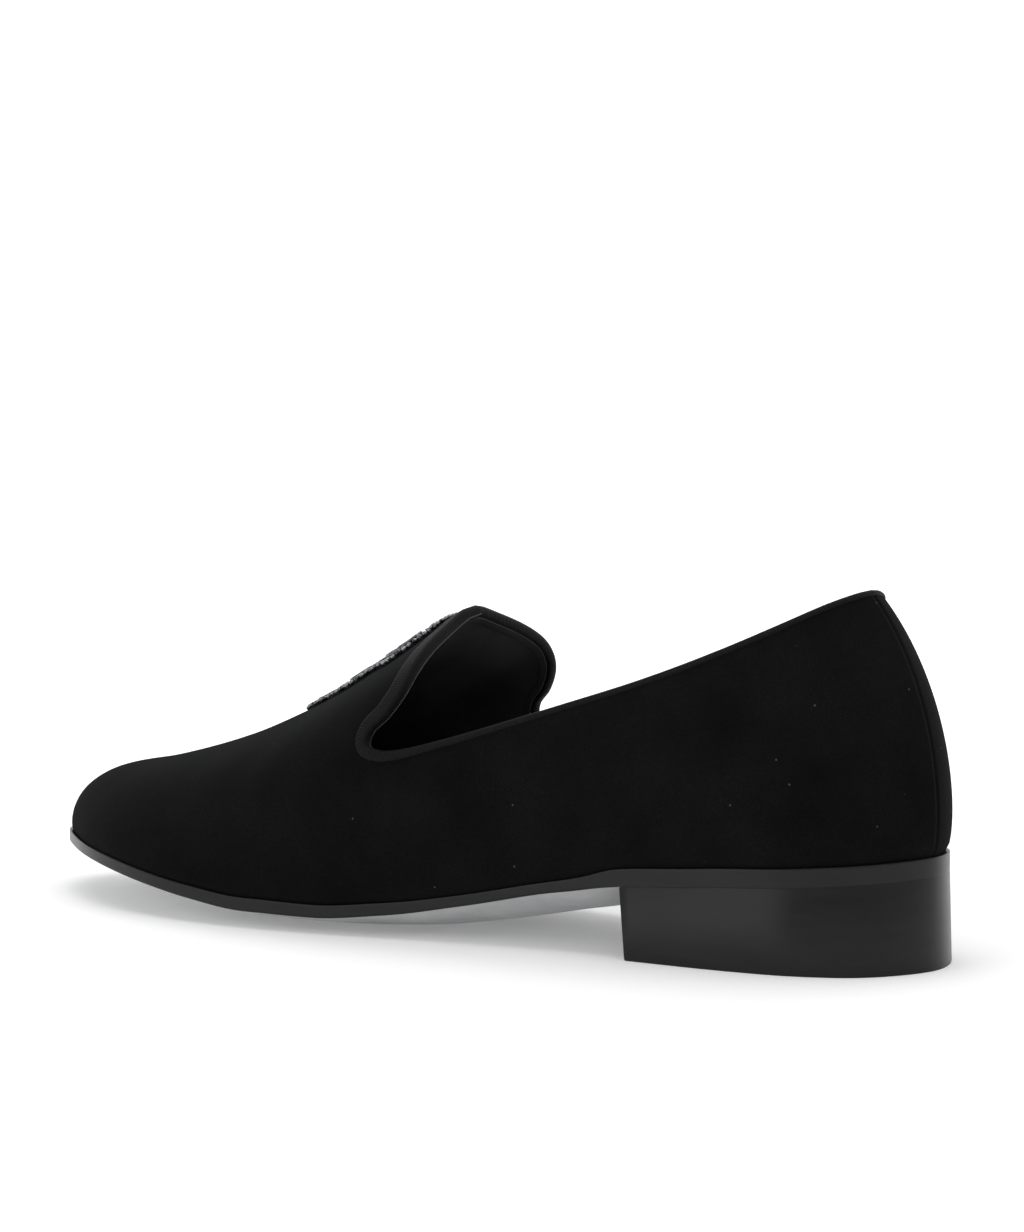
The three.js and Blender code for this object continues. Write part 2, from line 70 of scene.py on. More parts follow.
# Outline of the sole from above. Places are shares of the length from the heel's back.
# Half widths are shares of the seat's half width where seat is 1, and of the ball's where it is 0.
OUTLINE_ROWS = np.array([
    # at, outer, inner, seat
    [0.000, 0.00, 0.00, 1],
    [0.030, 0.60, 0.60, 1],
    [0.087, 0.88, 0.88, 1],
    [0.164, 0.99, 0.97, 1],
    [0.256, 1.02, 0.96, 1],
    [0.339, 0.70, 0.62, 0],
    [0.420, 0.76, 0.63, 0],
    [0.533, 0.89, 0.75, 0],
    [0.626, 0.99, 0.88, 0],
    [0.707, 1.02, 0.97, 0],
    [0.799, 0.96, 0.95, 0],
    [0.880, 0.79, 0.78, 0],
    [0.944, 0.52, 0.53, 0],
    [0.978, 0.31, 0.34, 0],
    [1.000, 0.00, 0.00, 0],
])

# Underside and edge of the outsole. heel is a share of the heel's height, toe of the toe spring,
# lift of the edge lift, and seat and thin say how much of the thickness is the seat's or the thin edge's.
PROFILE_ROWS = np.array([
    # at, heel, toe, lift, seat, thin
    [0.000, 1.000, 0.00, 0.00, 1.00, 0.00],
    [0.090, 0.925, 0.00, 0.00, 1.00, 0.00],
    [0.180, 0.850, 0.00, 0.04, 1.00, 0.00],
    [0.266, 0.610, 0.00, 0.85, 0.85, 0.00],
    [0.306, 0.450, 0.00, 1.30, 0.10, 0.55],
    [0.351, 0.350, 0.00, 1.36, 0.00, 1.00],
    [0.433, 0.165, 0.00, 1.28, 0.00, 0.90],
    [0.513, 0.035, 0.00, 1.12, 0.00, 0.40],
    [0.584, 0.000, 0.00, 0.90, 0.00, 0.20],
    [0.656, 0.000, 0.00, 0.95, 0.00, 0.00],
    [0.726, 0.000, 0.20, 0.83, 0.00, 0.15],
    [0.776, 0.000, 0.40, 0.71, 0.00, 0.35],
    [0.830, 0.000, 0.63, 0.55, 0.00, 0.45],
    [0.891, 0.000, 0.82, 0.47, 0.00, 0.70],
    [0.955, 0.000, 0.94, 0.33, 0.00, 0.60],
    [1.000, 0.000, 1.00, 0.10, 0.00, 0.40],
])

# Where the upper's ribs meet the ridge over the foot. high is a share of the tongue's height.
RIDGE_ROWS = np.array([
    # at, top, high
    [0.000, 0.184, 1.300],
    [0.060, 0.200, 1.300],
    [0.150, 0.246, 1.290],
    [0.250, 0.297, 1.260],
    [0.349, 0.359, 1.200],
    [0.430, 0.435, 1.110],
    [0.512, 0.512, 1.000],
    [0.574, 0.574, 0.873],
    [0.636, 0.636, 0.744],
    [0.697, 0.697, 0.643],
    [0.758, 0.758, 0.559],
    [0.820, 0.820, 0.493],
    [0.881, 0.881, 0.441],
    [0.940, 0.936, 0.404],
    [0.970, 0.962, 0.364],
    [1.000, 0.985, 0.300],
])

# How a rib runs up either side. swell is how far it leans out over the sole, and hollow how far it is
# drawn in below the ridge, both as shares of the wall's swell. Towards the toe both sides are alike.
OUTER_RIB_ROWS = np.array([
    # at, swell, shoulder, crown, hollow
    [0.000, 0.85, 2.40, 2.00, 0.0],
    [0.060, 1.20, 2.20, 2.00, 0.0],
    [0.150, 1.35, 2.35, 2.00, 0.0],
    [0.250, 1.20, 2.80, 1.90, 0.0],
    [0.349, 1.20, 3.40, 1.70, 0.3],
    [0.430, 1.40, 4.40, 1.60, 1.2],
    [0.512, 1.50, 5.70, 1.70, 3.0],
    [0.574, 1.20, 4.70, 1.60, 1.8],
    [0.636, 0.95, 4.00, 1.55, 0.7],
    [0.697, 0.85, 3.20, 1.60, 0.0],
    [0.758, 0.75, 2.80, 1.70, 0.0],
    [0.820, 0.60, 2.60, 1.80, 0.0],
    [0.881, 0.50, 2.60, 1.90, 0.0],
    [0.940, 0.45, 2.70, 2.00, 0.0],
    [0.970, 0.40, 2.70, 2.00, 0.0],
    [1.000, 0.40, 2.60, 2.00, 0.0],
])
INNER_RIB_ROWS = np.array([
    # at, swell, shoulder, crown, hollow
    [0.000, 0.85, 2.40, 2.00, 0.0],
    [0.060, 1.30, 2.20, 2.00, 0.0],
    [0.150, 1.50, 2.35, 2.00, 0.0],
    [0.250, 1.50, 2.80, 1.90, 0.0],
    [0.349, 1.40, 4.20, 1.60, 0.3],
    [0.430, 1.20, 8.00, 1.40, 1.8],
    [0.512, 1.00, 14.00, 1.30, 4.5],
    [0.574, 0.95, 8.50, 1.40, 2.6],
    [0.636, 0.90, 5.00, 1.50, 0.8],
    [0.697, 0.85, 3.40, 1.60, 0.0],
])
INNER_RIB_ROWS = np.vstack([INNER_RIB_ROWS, OUTER_RIB_ROWS[OUTER_RIB_ROWS[:, 0] > 0.7]])

# Free edge of the opening from the side. high is a share of the tongue's height, collar adds a share
# of what the collar stands above it, and wide says how much of the binding's width is the tongue's.
MOUTH_ROWS = np.array([
    # at, high, collar, wide
    [0.511, 1.060, 0.00, 1.00],
    [0.512, 1.000, 0.00, 1.00],
    [0.507, 0.930, 0.00, 1.00],
    [0.502, 0.850, 0.00, 1.00],
    [0.503, 0.770, 0.00, 0.90],
    [0.514, 0.695, 0.00, 0.75],
    [0.529, 0.642, 0.00, 0.60],
    [0.530, 0.606, 0.00, 0.50],
    [0.517, 0.590, 0.00, 0.40],
    [0.499, 0.594, 0.00, 0.28],
    [0.459, 0.628, 0.00, 0.10],
    [0.331, 0.766, 0.00, 0.00],
    [0.254, 0.851, 0.00, 0.00],
    [0.184, 0.942, 0.00, 0.00],
    [0.123, 1.000, 0.25, 0.00],
    [0.071, 1.000, 0.92, 0.00],
    [0.055, 1.000, 1.16, 0.00],
    [-0.030, 1.000, 1.90, 0.00],
])

# Lobed outline of the bead-work from above: share of its length from the rear, share of its half width.
ORNAMENT_ROWS = np.array([
    [0.00, 0.00],
    [0.02, 0.55],
    [0.10, 0.92],
    [0.22, 0.98],
    [0.32, 0.80],
    [0.42, 0.74],
    [0.54, 0.80],
    [0.66, 0.60],
    [0.76, 0.38],
    [0.86, 0.36],
    [0.95, 0.20],
    [1.00, 0.00],
])

# Stones on the bead-work's middle line: share of its length from the rear, radius in millimetres.
STONE_ROWS = [
    (0.07, 1.5), (0.145, 2.1), (0.235, 1.6), (0.32, 1.3), (0.41, 1.7),
    (0.50, 1.4), (0.59, 1.2), (0.68, 1.5), (0.77, 1.2), (0.85, 1.0), (0.92, 0.8),
]

# Scrolls of coiled wire on one side: shares of the bead-work's length and of its half width.
SCROLLS = [
    [(0.40, 0.10), (0.31, 0.26), (0.29, 0.50), (0.24, 0.74), (0.15, 0.75), (0.10, 0.56), (0.13, 0.38),
     (0.20, 0.37), (0.225, 0.52), (0.18, 0.59)],
    [(0.72, 0.08), (0.63, 0.18), (0.57, 0.40), (0.51, 0.60), (0.445, 0.54), (0.45, 0.36), (0.505, 0.32),
     (0.525, 0.43)],
    [(0.93, 0.05), (0.87, 0.15), (0.82, 0.27), (0.765, 0.24), (0.775, 0.14)],
]

# Leaves filled with seed beads on one side: root and tip as shares, and width in millimetres.
LEAVES = [
    ((0.385, 0.26), (0.37, 0.68), 3.6),
    ((0.625, 0.28), (0.60, 0.66), 3.0),
    ((0.05, 0.16), (0.055, 0.56), 2.6),
    ((0.735, 0.12), (0.70, 0.36), 2.2),
]


def length(name, description, default):
    """A length in metres that can be set in the panel."""
    return FloatProperty(name=name, description=description, default=default, unit="LENGTH")


def colour(name, description, default):
    """A colour that can be set in the panel."""
    return FloatVectorProperty(name=name, description=description, default=default, subtype="COLOR", size=3)


class LoaferSizes(bpy.types.PropertyGroup):
    """Sizes of the shoe, as in its model."""

    sole_length: length("Sole length", "Toe tip to the back of the seat", 0.283)
    ball_width: length("Ball width", "Outsole across the ball of the foot", 0.100)
    seat_width: length("Seat width", "Outsole across the heel seat", 0.067)
    heel_height: length("Heel height", "Floor to the outsole's underside at the back", 0.0244)
    heel_length: length("Heel length", "Back of the seat to the heel's breast", 0.075)
    breast_rake: length("Breast rake", "The breast leans back by this at the floor", 0.002)
    heel_flare: length("Heel flare", "The heel spreads by this towards the floor", 0.0005)
    toe_spring: length("Toe spring", "Floor to the outsole's underside at the toe tip", 0.0126)
    sole_thickness: length("Sole thickness", "Outsole's edge in the forefoot", 0.0037)
    seat_thickness: length("Seat thickness", "Outsole's edge over the heel", 0.0049)
    thin_edge: length("Thin edge", "Outsole's edge where it is trimmed thin", 0.0029)
    edge_lift: length("Edge lift", "The waist's edges stand this far above its middle", 0.005)
    flat_share: FloatProperty(
        name="Flat share", description="Share of the half width over which the underside is flat",
        default=0.3)
    insole_thickness: length("Insole thickness", "Insole board and sock together", 0.002)
    wall: length("Wall", "Pile cloth, stiffener and lining together", 0.0022)
    wall_swell: length("Wall swell", "How far the wall leans out over the sole", 0.002)
    tongue_height: length("Tongue height", "Floor to the tongue's peak", 0.0859)
    collar_height: length("Collar height", "Floor to the collar at the back seam", 0.0983)
    feather_inset: length("Feather inset", "The upper stands in from the sole's edge by this", 0.0012)
    binding_at_tongue: length("Binding at the tongue", "Ribbon's width along the tongue", 0.0048)
    binding_at_quarter: length("Binding at the quarter", "Ribbon's width along the collar", 0.0020)
    binding_proud: length("Binding proud", "The ribbon stands off the wall by this", 0.0005)
    ornament_length: length("Bead-work length", "Bead-work along the shoe", 0.052)
    ornament_width: length("Bead-work width", "Bead-work across the vamp", 0.040)
    ornament_relief: length("Bead-work relief", "Bead-work's height on the vamp", 0.0015)
    ornament_setback: length(
        "Bead-work setback", "Bead-work's rear end, forward of the tongue's peak", 0.0056)
    tongue_peak: length("Tongue peak", "Back of the seat to the tongue's peak", 0.145)
    rib_pitch: length("Ribbon rib pitch", "From one rib of the ribbon to the next", 0.0006)
    stitch_pitch: length("Stitch pitch", "From one stitch to the next", 0.0021)
    bead_pitch: length("Seed bead pitch", "From one seed bead to the next", 0.00155)


class LoaferFinish(bpy.types.PropertyGroup):
    """Colours of the shoe and its stage."""

    velvet: colour("Velvet", "Pile of the upper", (0.0052, 0.0052, 0.0053))
    ribbon: colour("Ribbon", "Binding of the topline", (0.0046, 0.0046, 0.0047))
    lining: colour("Lining", "Leather inside the shoe", (0.0400, 0.0400, 0.0400))
    sole: colour("Sole", "Edge and underside of the outsole", (0.0098, 0.0100, 0.0100))
    heel: colour("Heel", "Satin heel block", (0.0098, 0.0100, 0.0100))
    beads: colour("Beads", "Seed beads of the ornament", (0.030, 0.031, 0.034))
    floor: colour("Floor", "Floor and backdrop", (0.90, 0.90, 0.90))
    seed: IntProperty(name="Seed", description="Seed of everything that varies at random", default=7)


def sizes():
    """Sizes of the shoe."""
    return bpy.context.scene.loafer_sizes


def finish():
    """Colours of the shoe."""
    return bpy.context.scene.loafer_finish


# Curves and tables
def smooth_track(rows, column, x):
    """Reads a column of a table at x, on a smooth curve that doesn't overshoot its rows."""
    at = rows[:, 0]
    value = rows[:, column]
    slope = np.diff(value) / np.diff(at)
    before, after = slope[:-1], slope[1:]
    turns = before * after <= 0
    total = np.where(turns, 1.0, before + after)
    middle = np.where(turns, 0.0, 2 * before * after / total)
    tangent = np.concatenate([slope[:1], middle, slope[-1:]])
    x = np.clip(x, at[0], at[-1])
    i = np.clip(np.searchsorted(at, x) - 1, 0, len(at) - 2)
    span = at[i + 1] - at[i]
    t = (x - at[i]) / span
    start = (1 + 2 * t) * (1 - t) ** 2
    end = t * t * (3 - 2 * t)
    bend = t * (1 - t) ** 2 * tangent[i] - t * t * (1 - t) * tangent[i + 1]
    return start * value[i] + end * value[i + 1] + span * bend


def spline(points, t, closed=False):
    """Points and headings of a smooth curve through points, at shares t of its pieces."""
    count = len(points)
    pieces = count if closed else count - 1
    place = np.clip(t, 0, 1) * pieces
    i = np.minimum(place.astype(int), pieces - 1)
    w = (place - i)[:, None]
    if closed:
        p0, p1, p2, p3 = (points[(i + k) % count] for k in (-1, 0, 1, 2))
    else:
        ends = np.vstack([2 * points[0] - points[1], points, 2 * points[-1] - points[-2]])
        p0, p1, p2, p3 = (ends[i + k] for k in (0, 1, 2, 3))
    d0, d1, d2 = (
        np.maximum(np.sqrt(np.linalg.norm(b - a, axis=1)), 1e-6)[:, None]
        for a, b in ((p0, p1), (p1, p2), (p2, p3))
    )
    m1 = ((p1 - p0) / d0 - (p2 - p0) / (d0 + d1) + (p2 - p1) / d1) * d1
    m2 = ((p2 - p1) / d1 - (p3 - p1) / (d1 + d2) + (p3 - p2) / d2) * d1
    square = -3 * p1 + 3 * p2 - 2 * m1 - m2
    cube = 2 * p1 - 2 * p2 + m1 + m2
    point = ((cube * w + square) * w + m1) * w + p1
    heading = (3 * cube * w + 2 * square) * w + m1
    return point, heading / np.linalg.norm(heading, axis=1)[:, None]


def even_steps(points, pitch):
    """Points at an even pitch along a line of points."""
    lengths = np.concatenate([[0], np.cumsum(np.linalg.norm(np.diff(points, axis=0), axis=1))])
    count = max(2, int(round(lengths[-1] / pitch)) + 1)
    at = np.linspace(0, lengths[-1], count)
    return np.column_stack([np.interp(at, lengths, points[:, k]) for k in range(points.shape[1])])


def unit(vectors):
    """Vectors of length one."""
    return vectors / np.maximum(np.linalg.norm(vectors, axis=-1, keepdims=True), 1e-12)


class Last:
    """The shoe's form, read off the tables at any place."""

    def __init__(self):
        self.s = sizes()
        self.loop = self.outline_loop()
        dense = np.linspace(0, 1, 801)
        self.rim = {sign: self.outline_point(dense, sign) for sign in (-1, 1)}
        self.rib_along = np.concatenate([np.linspace(0, 0.94, 900), np.linspace(0.94, 1, 200)[1:]])
        low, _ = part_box("outsole")
        edge = np.vstack([self.rim[-1], self.rim[1]])
        self.shift = np.array([low.x - edge[:, 0].min(), low.y - edge[:, 1].min(), 0])

    def place(self, points):
        """Moves points from the tables' origin to the model's."""
        return points + self.shift

    def lengthwise(self, share):
        return self.s.sole_length * (0.5 - share)

    def share_of(self, x):
        return 0.5 - x / self.s.sole_length

    def outline_loop(self):
        half = np.where(OUTLINE_ROWS[:, 3] > 0, self.s.seat_width / 2, self.s.ball_width / 2)
        x = self.lengthwise(OUTLINE_ROWS[:, 0])
        outer = np.column_stack([x, -OUTLINE_ROWS[:, 1] * half])
        inner = np.column_stack([x, OUTLINE_ROWS[:, 2] * half])[1:-1][::-1]
        return np.vstack([outer, inner])

    def outline_point(self, along, sign, inset=0.0):
        """Points of the sole's outline, in from the edge by inset, for shares along from heel to toe."""
        along = np.asarray(along, float)
        t = along / 2 if sign < 0 else 1 - along / 2
        point, heading = spline(self.loop, t, closed=True)
        point = point + np.column_stack([heading[:, 1], -heading[:, 0]]) * np.reshape(inset, (-1, 1))
        on_centre = (along <= 0) | (along >= 1)
        point[on_centre, 1] = 0
        return point

    def half_width(self, x, y):
        """Half width of the sole at x, on the side of y."""
        halves = []
        for sign in (-1, 1):
            rim = self.rim[sign]
            halves.append(np.interp(-x, -rim[:, 0], np.abs(rim[:, 1])))
        return np.where(y < 0, halves[0], halves[1])

    def across(self, x, y):
        """Place across the sole, from -1 at its outer edge to 1 at its inner one."""
        return np.clip(y / np.maximum(self.half_width(x, y), 1e-6), -1, 1)

    def underside(self, x, y):
        share = self.share_of(x)
        s = self.s
        middle = s.heel_height * smooth_track(PROFILE_ROWS, 1, share)
        middle = middle + s.toe_spring * smooth_track(PROFILE_ROWS, 2, share)
        outwards = np.maximum(0, (np.abs(self.across(x, y)) - s.flat_share) / (1 - s.flat_share))
        return middle + s.edge_lift * smooth_track(PROFILE_ROWS, 3, share) * outwards ** 2

    def topside(self, x, y):
        share = self.share_of(x)
        seat = smooth_track(PROFILE_ROWS, 4, share)
        thin = smooth_track(PROFILE_ROWS, 5, share)
        s = self.s
        thick = s.seat_thickness * seat + s.thin_edge * thin + s.sole_thickness * (1 - seat - thin)
        return self.underside(x, y) + thick

    def ribs(self, along, sign):
        """Feet, ridge ends, headings and shapes of the upper's ribs on one side."""
        foot = self.outline_point(along, sign, self.s.feather_inset)
        opposite = self.outline_point(along, -sign, self.s.feather_inset)
        share = self.share_of((foot[:, 0] + opposite[:, 0]) / 2)
        high = self.topside(foot[:, 0], foot[:, 1])
        foot = np.column_stack([foot, high])
        top = self.lengthwise(smooth_track(RIDGE_ROWS, 1, share))
        ridge = np.column_stack([top, 0 * top, self.s.tongue_height * smooth_track(RIDGE_ROWS, 2, share)])
        ends = np.minimum(np.minimum(along, 1 - along) / 0.004, 1)
        own = OUTER_RIB_ROWS if sign < 0 else INNER_RIB_ROWS
        swell, shoulder, crown, hollow = (
            smooth_track(own, k, share) * ends + smooth_track(OUTER_RIB_ROWS, k, share) * (1 - ends)
            for k in (1, 2, 3, 4)
        )
        return {
            "foot": foot, "ridge": ridge, "lean": unit(ridge[:, :2] - foot[:, :2]),
            "swell": swell * self.s.wall_swell, "hollow": hollow * self.s.wall_swell,
            "shoulder": shoulder, "crown": crown,
        }

    def climb(self, ribs, rise):
        """X, Y and Z at a rise from 0 at the sole to 1 at the ridge, for each rib."""
        inwards = 1 - (1 - rise ** ribs["shoulder"]) ** (1 / ribs["crown"])
        swell = np.sqrt(rise) * (1 - rise) ** 2 / (math.sqrt(0.2) * 0.8 ** 2)
        hollow = rise ** 16 * (1 - rise) / ((16 / 17) ** 16 / 17)
        out = ribs["swell"] * swell - ribs["hollow"] * hollow
        foot, ridge, lean = ribs["foot"], ribs["ridge"], ribs["lean"]
        x = foot[:, 0] + (ridge[:, 0] - foot[:, 0]) * inwards - lean[:, 0] * out
        y = foot[:, 1] + (ridge[:, 1] - foot[:, 1]) * inwards - lean[:, 1] * out
        z = foot[:, 2] + (ridge[:, 2] - foot[:, 2]) * rise
        return np.stack([x, y, z], axis=-1)

    def surface(self, along, climbs, sign):
        """Points of the upper's outer face, as a grid of ribs by climbs."""
        ribs = self.ribs(along, sign)
        rows = [self.climb(ribs, np.full(len(along), math.sin(c * math.pi / 2))) for c in climbs]
        return np.stack(rows, axis=1)

    def wall_at(self, x, z, sign):
        """Points and outward normals of the upper's outer face at x and z, seen from one side."""
        ribs = self.ribs(self.rib_along, sign)
        foot_z, ridge_z = ribs["foot"][:, 2], ribs["ridge"][:, 2]

        def find(x, z):
            rise = np.clip((z[:, None] - foot_z) / (ridge_z - foot_z), 0, 1)
            reach, depth, _ = np.moveaxis(self.climb(ribs, rise), -1, 0)
            beyond = reach < x[:, None]
            i = np.clip(np.argmax(beyond, axis=1), 1, len(foot_z) - 1)
            rows = np.arange(len(x))
            a, b = reach[rows, i - 1], reach[rows, i]
            w = np.clip((a - x) / np.maximum(a - b, 1e-9), 0, 1)
            return depth[rows, i - 1] * (1 - w) + depth[rows, i] * w

        y = find(x, z)
        step = 0.25 * MM
        slope_x = (find(x + step, z) - find(x - step, z)) / (2 * step)
        slope_z = (find(x, z + step) - find(x, z - step)) / (2 * step)
        normal = unit(np.column_stack([-sign * slope_x, np.full(len(x), sign), -sign * slope_z]))
        return np.column_stack([x, y, z]), normal

    def mouth_edge(self, t, away=0.0):
        """Points in X and Z on the opening's edge, moved down into the wall by away."""
        s = self.s
        high = s.tongue_height * MOUTH_ROWS[:, 1] + (s.collar_height - s.tongue_height) * MOUTH_ROWS[:, 2]
        rows = np.column_stack([self.lengthwise(MOUTH_ROWS[:, 0]), high])
        point, heading = spline(rows, t)
        return point + np.column_stack([heading[:, 1], -heading[:, 0]]) * np.reshape(away, (-1, 1))

    def binding_width(self, t):
        steps = np.column_stack([np.linspace(0, 1, len(MOUTH_ROWS)), MOUTH_ROWS[:, 3]])
        wide = smooth_track(steps, 1, t)
        return self.s.binding_at_quarter + (self.s.binding_at_tongue - self.s.binding_at_quarter) * wide

    def mouth_depth(self, points, bindings):
        """Signed distance below the opening's edge, in the side view, for points of the upper."""
        t = np.linspace(0, 1, 400)
        line = self.mouth_edge(t, bindings * self.binding_width(t))
        flat = points[:, [0, 2]]
        best = np.full(len(flat), np.inf)
        inside = np.zeros(len(flat), bool)
        roof = 2 * self.s.collar_height
        loop = np.vstack([line, [line[-1, 0], roof], [line[0, 0], roof]])
        for a, b in zip(loop, np.roll(loop, -1, axis=0)):
            crosses = (a[1] > flat[:, 1]) != (b[1] > flat[:, 1])
            reach = a[0] + (flat[:, 1] - a[1]) * (b[0] - a[0]) / ((b[1] - a[1]) or 1e-12)
            inside ^= crosses & (flat[:, 0] < reach)
        for a, b in zip(line[:-1], line[1:]):
            span = b - a
            w = np.clip(((flat - a) @ span) / (span @ span), 0, 1)
            best = np.minimum(best, np.linalg.norm(flat - (a + w[:, None] * span), axis=1))
        return np.where(inside, -best, best)

    def vamp_at(self, x, y):
        """Points and outward normals of the upper's outer face over the vamp, seen from above."""
        along = np.linspace(0.45, 0.85, 900)
        climbs = np.sin(np.linspace(0.02, 1, 500) * math.pi / 2)

        def find(x, y):
            z = np.empty(len(x))
            for sign in (-1, 1):
                here = (y < 0) if sign < 0 else (y >= 0)
                if not here.any():
                    continue
                ridge_x = self.ribs(along, sign)["ridge"][:, 0]
                rib = np.interp(-x[here], -ridge_x, along)
                ribs = self.ribs(rib, sign)
                grid = np.stack([self.climb(ribs, np.full(len(rib), c)) for c in climbs], axis=1)
                target = np.abs(y[here])
                depth = np.abs(grid[:, :, 1])
                z[here] = [np.interp(-a, -d, g) for a, d, g in zip(target, depth, grid[:, :, 2])]
            return z

        z = find(x, y)
        step = 0.3 * MM
        slope_x = (find(x + step, y) - find(x - step, y)) / (2 * step)
        slope_y = (find(x, y + step) - find(x, y - step)) / (2 * step)
        flat = np.abs(y) < step
        slope_y[flat] = 0
        normal = unit(np.column_stack([-slope_x, -slope_y, np.ones(len(x))]))
        return np.column_stack([x, y, z]), normal


# Meshes
def weld(points, faces):
    """Merges points that fall together, and drops faces that close up."""
    keys = np.round(points / 1e-7).astype(np.int64)
    _, first, index = np.unique(keys, axis=0, return_index=True, return_inverse=True)
    index = index.reshape(-1)
    kept, keep = [], []
    for n, face in enumerate(faces):
        ids = []
        for corner in face:
            point = int(index[corner])
            if point not in ids:
                ids.append(point)
        if len(ids) > 2:
            kept.append(ids)
            keep.append(n)
    return points[first], kept, np.array(keep, int)


def grid_faces(rows, columns, start=0, wrap=False):
    """Faces of a grid of points, given row by row."""
    faces = []
    last = rows if wrap else rows - 1
    for i in range(last):
        j = (i + 1) % rows
        for k in range(columns - 1):
            a = start + i * columns + k
            b = start + j * columns + k
            faces.append((a, b, b + 1, a + 1))
    return faces


def ring_faces(rings, columns):
    """Faces between closed rings of points, given ring by ring."""
    faces = []
    for i in range(rings - 1):
        for k in range(columns):
            j = (k + 1) % columns
            a, b = i * columns, (i + 1) * columns
            faces.append((a + k, a + j, b + j, b + k))
    return faces


def vertex_normals(points, faces):
    """Area-weighted normals of a mesh of triangles and quads."""
    normals = np.zeros_like(points)
    corners = np.array([f if len(f) == 4 else [*f, f[0]] for f in faces])
    a, b, c, d = (points[corners[:, k]] for k in range(4))
    flat = np.cross(c - a, d - b)
    for k in range(4):
        np.add.at(normals, corners[:, k], flat)
    return unit(normals)


def trimmed(points, faces, depth):
    """Cuts a mesh where depth is 0 and keeps the part where it is more."""
    points = list(points)
    depth = list(depth)
    cuts = {}
    out = []

    def cut(a, b):
        key = (min(a, b), max(a, b))
        if key not in cuts:
            w = depth[key[0]] / (depth[key[0]] - depth[key[1]])
            points.append(points[key[0]] * (1 - w) + points[key[1]] * w)
            depth.append(0.0)
            cuts[key] = len(points) - 1
        return cuts[key]

    for face in faces:
        signs = [depth[i] > 0 for i in face]
        if all(signs):
            out.append(list(face))
            continue
        if not any(signs):
            continue
        ring = []
        for i, here in enumerate(face):
            there = face[(i + 1) % len(face)]
            if signs[i]:
                ring.append(here)
            if signs[i] != signs[(i + 1) % len(face)]:
                ring.append(cut(here, there))
        if len(ring) > 4:
            out.append(ring[:4])
            out.append([ring[0], *ring[3:]])
        elif len(ring) > 2:
            out.append(ring)
    used = sorted({i for face in out for i in face})
    renumber = {old: new for new, old in enumerate(used)}
    return np.array([points[i] for i in used]), [[renumber[i] for i in face] for face in out]


def rim_edges(faces):
    """Directed edges that only one face uses."""
    seen = {}
    for face in faces:
        for a, b in zip(face, [*face[1:], face[0]]):
            seen[(a, b)] = True
    return [edge for edge in seen if (edge[1], edge[0]) not in seen]


def make_piece(name, points, faces, materials, face_slots=None, uvs=None, smooth=True):
    """An object with a mesh of these points and faces, at the origin."""
    mesh = bpy.data.meshes.new(name)
    mesh.from_pydata([tuple(p) for p in points], [], [tuple(f) for f in faces])
    for material in materials:
        mesh.materials.append(material)
    if face_slots is not None:
        mesh.polygons.foreach_set("material_index", np.asarray(face_slots, np.int32))
    if uvs is not None:
        layer = mesh.uv_layers.new(name="UVMap")
        loops = np.zeros(len(mesh.loops), np.int32)
        mesh.loops.foreach_get("vertex_index", loops)
        layer.data.foreach_set("uv", np.asarray(uvs, np.float32)[loops].ravel())
    mesh.polygons.foreach_set("use_smooth", [smooth] * len(mesh.polygons))
    if mesh.validate():
        raise RuntimeError(f"the mesh of {name} has broken faces")
    mesh.update()
    obj = bpy.data.objects.new(name, mesh)
    bpy.context.scene.collection.objects.link(obj)
    return obj


def dress(obj, slot, *nodes):
    """The piece rides on the shoe and stands for these nodes; slot is not used."""
    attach(obj, "root")
    if nodes:
        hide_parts(*nodes)
    return obj


def sharpened(obj, degrees):
    """Edges sharper than an angle stay crisp."""
    obj.data.set_sharp_from_angle(angle=math.radians(degrees))
    return obj


# Node trees
def add_node(tree, kind, values=None, **settings):
    """A node with its settings, and its inputs set to values or linked to other nodes' outputs."""
    node = tree.nodes.new(kind)
    for key, value in settings.items():
        setattr(node, key, value)
    for key, value in (values or {}).items():
        if isinstance(value, bpy.types.NodeSocket):
            tree.links.new(value, node.inputs[key])
        else:
            node.inputs[key].default_value = value
    return node


def new_material(name):
    """A material with its tree, shader and the piece's own coordinates."""
    material = bpy.data.materials.new(name)
    material.use_nodes = True
    tree = material.node_tree
    shader = tree.nodes["Principled BSDF"]
    coords = add_node(tree, "ShaderNodeTexCoord")
    return material, tree, shader, coords


def set_shader(shader, **values):
    """Sets the shader's own sockets, named with underscores for spaces."""
    for key, value in values.items():
        shader.inputs[key.replace("_", " ")].default_value = value


def add_bump(tree, shader, height, strength, distance, before=None):
    """Bumps the shader by a height, on top of an earlier bump."""
    values = {"Height": height, "Strength": strength, "Distance": distance}
    if before is not None:
        values["Normal"] = before.outputs["Normal"]
    bump = add_node(tree, "ShaderNodeBump", values)
    tree.links.new(bump.outputs["Normal"], shader.inputs["Normal"])
    return bump


def add_ramp(tree, factor, low, high, start=0.0, end=1.0):
    """A ramp from one colour to another."""
    ramp = add_node(tree, "ShaderNodeValToRGB", {"Fac": factor})
    ramp.color_ramp.elements[0].position = start
    ramp.color_ramp.elements[0].color = (*low, 1)
    ramp.color_ramp.elements[1].position = end
    ramp.color_ramp.elements[1].color = (*high, 1)
    return ramp.outputs["Color"]


def times(colour, factor):
    """A colour made lighter or darker."""
    return tuple(min(1.0, c * factor) for c in colour)


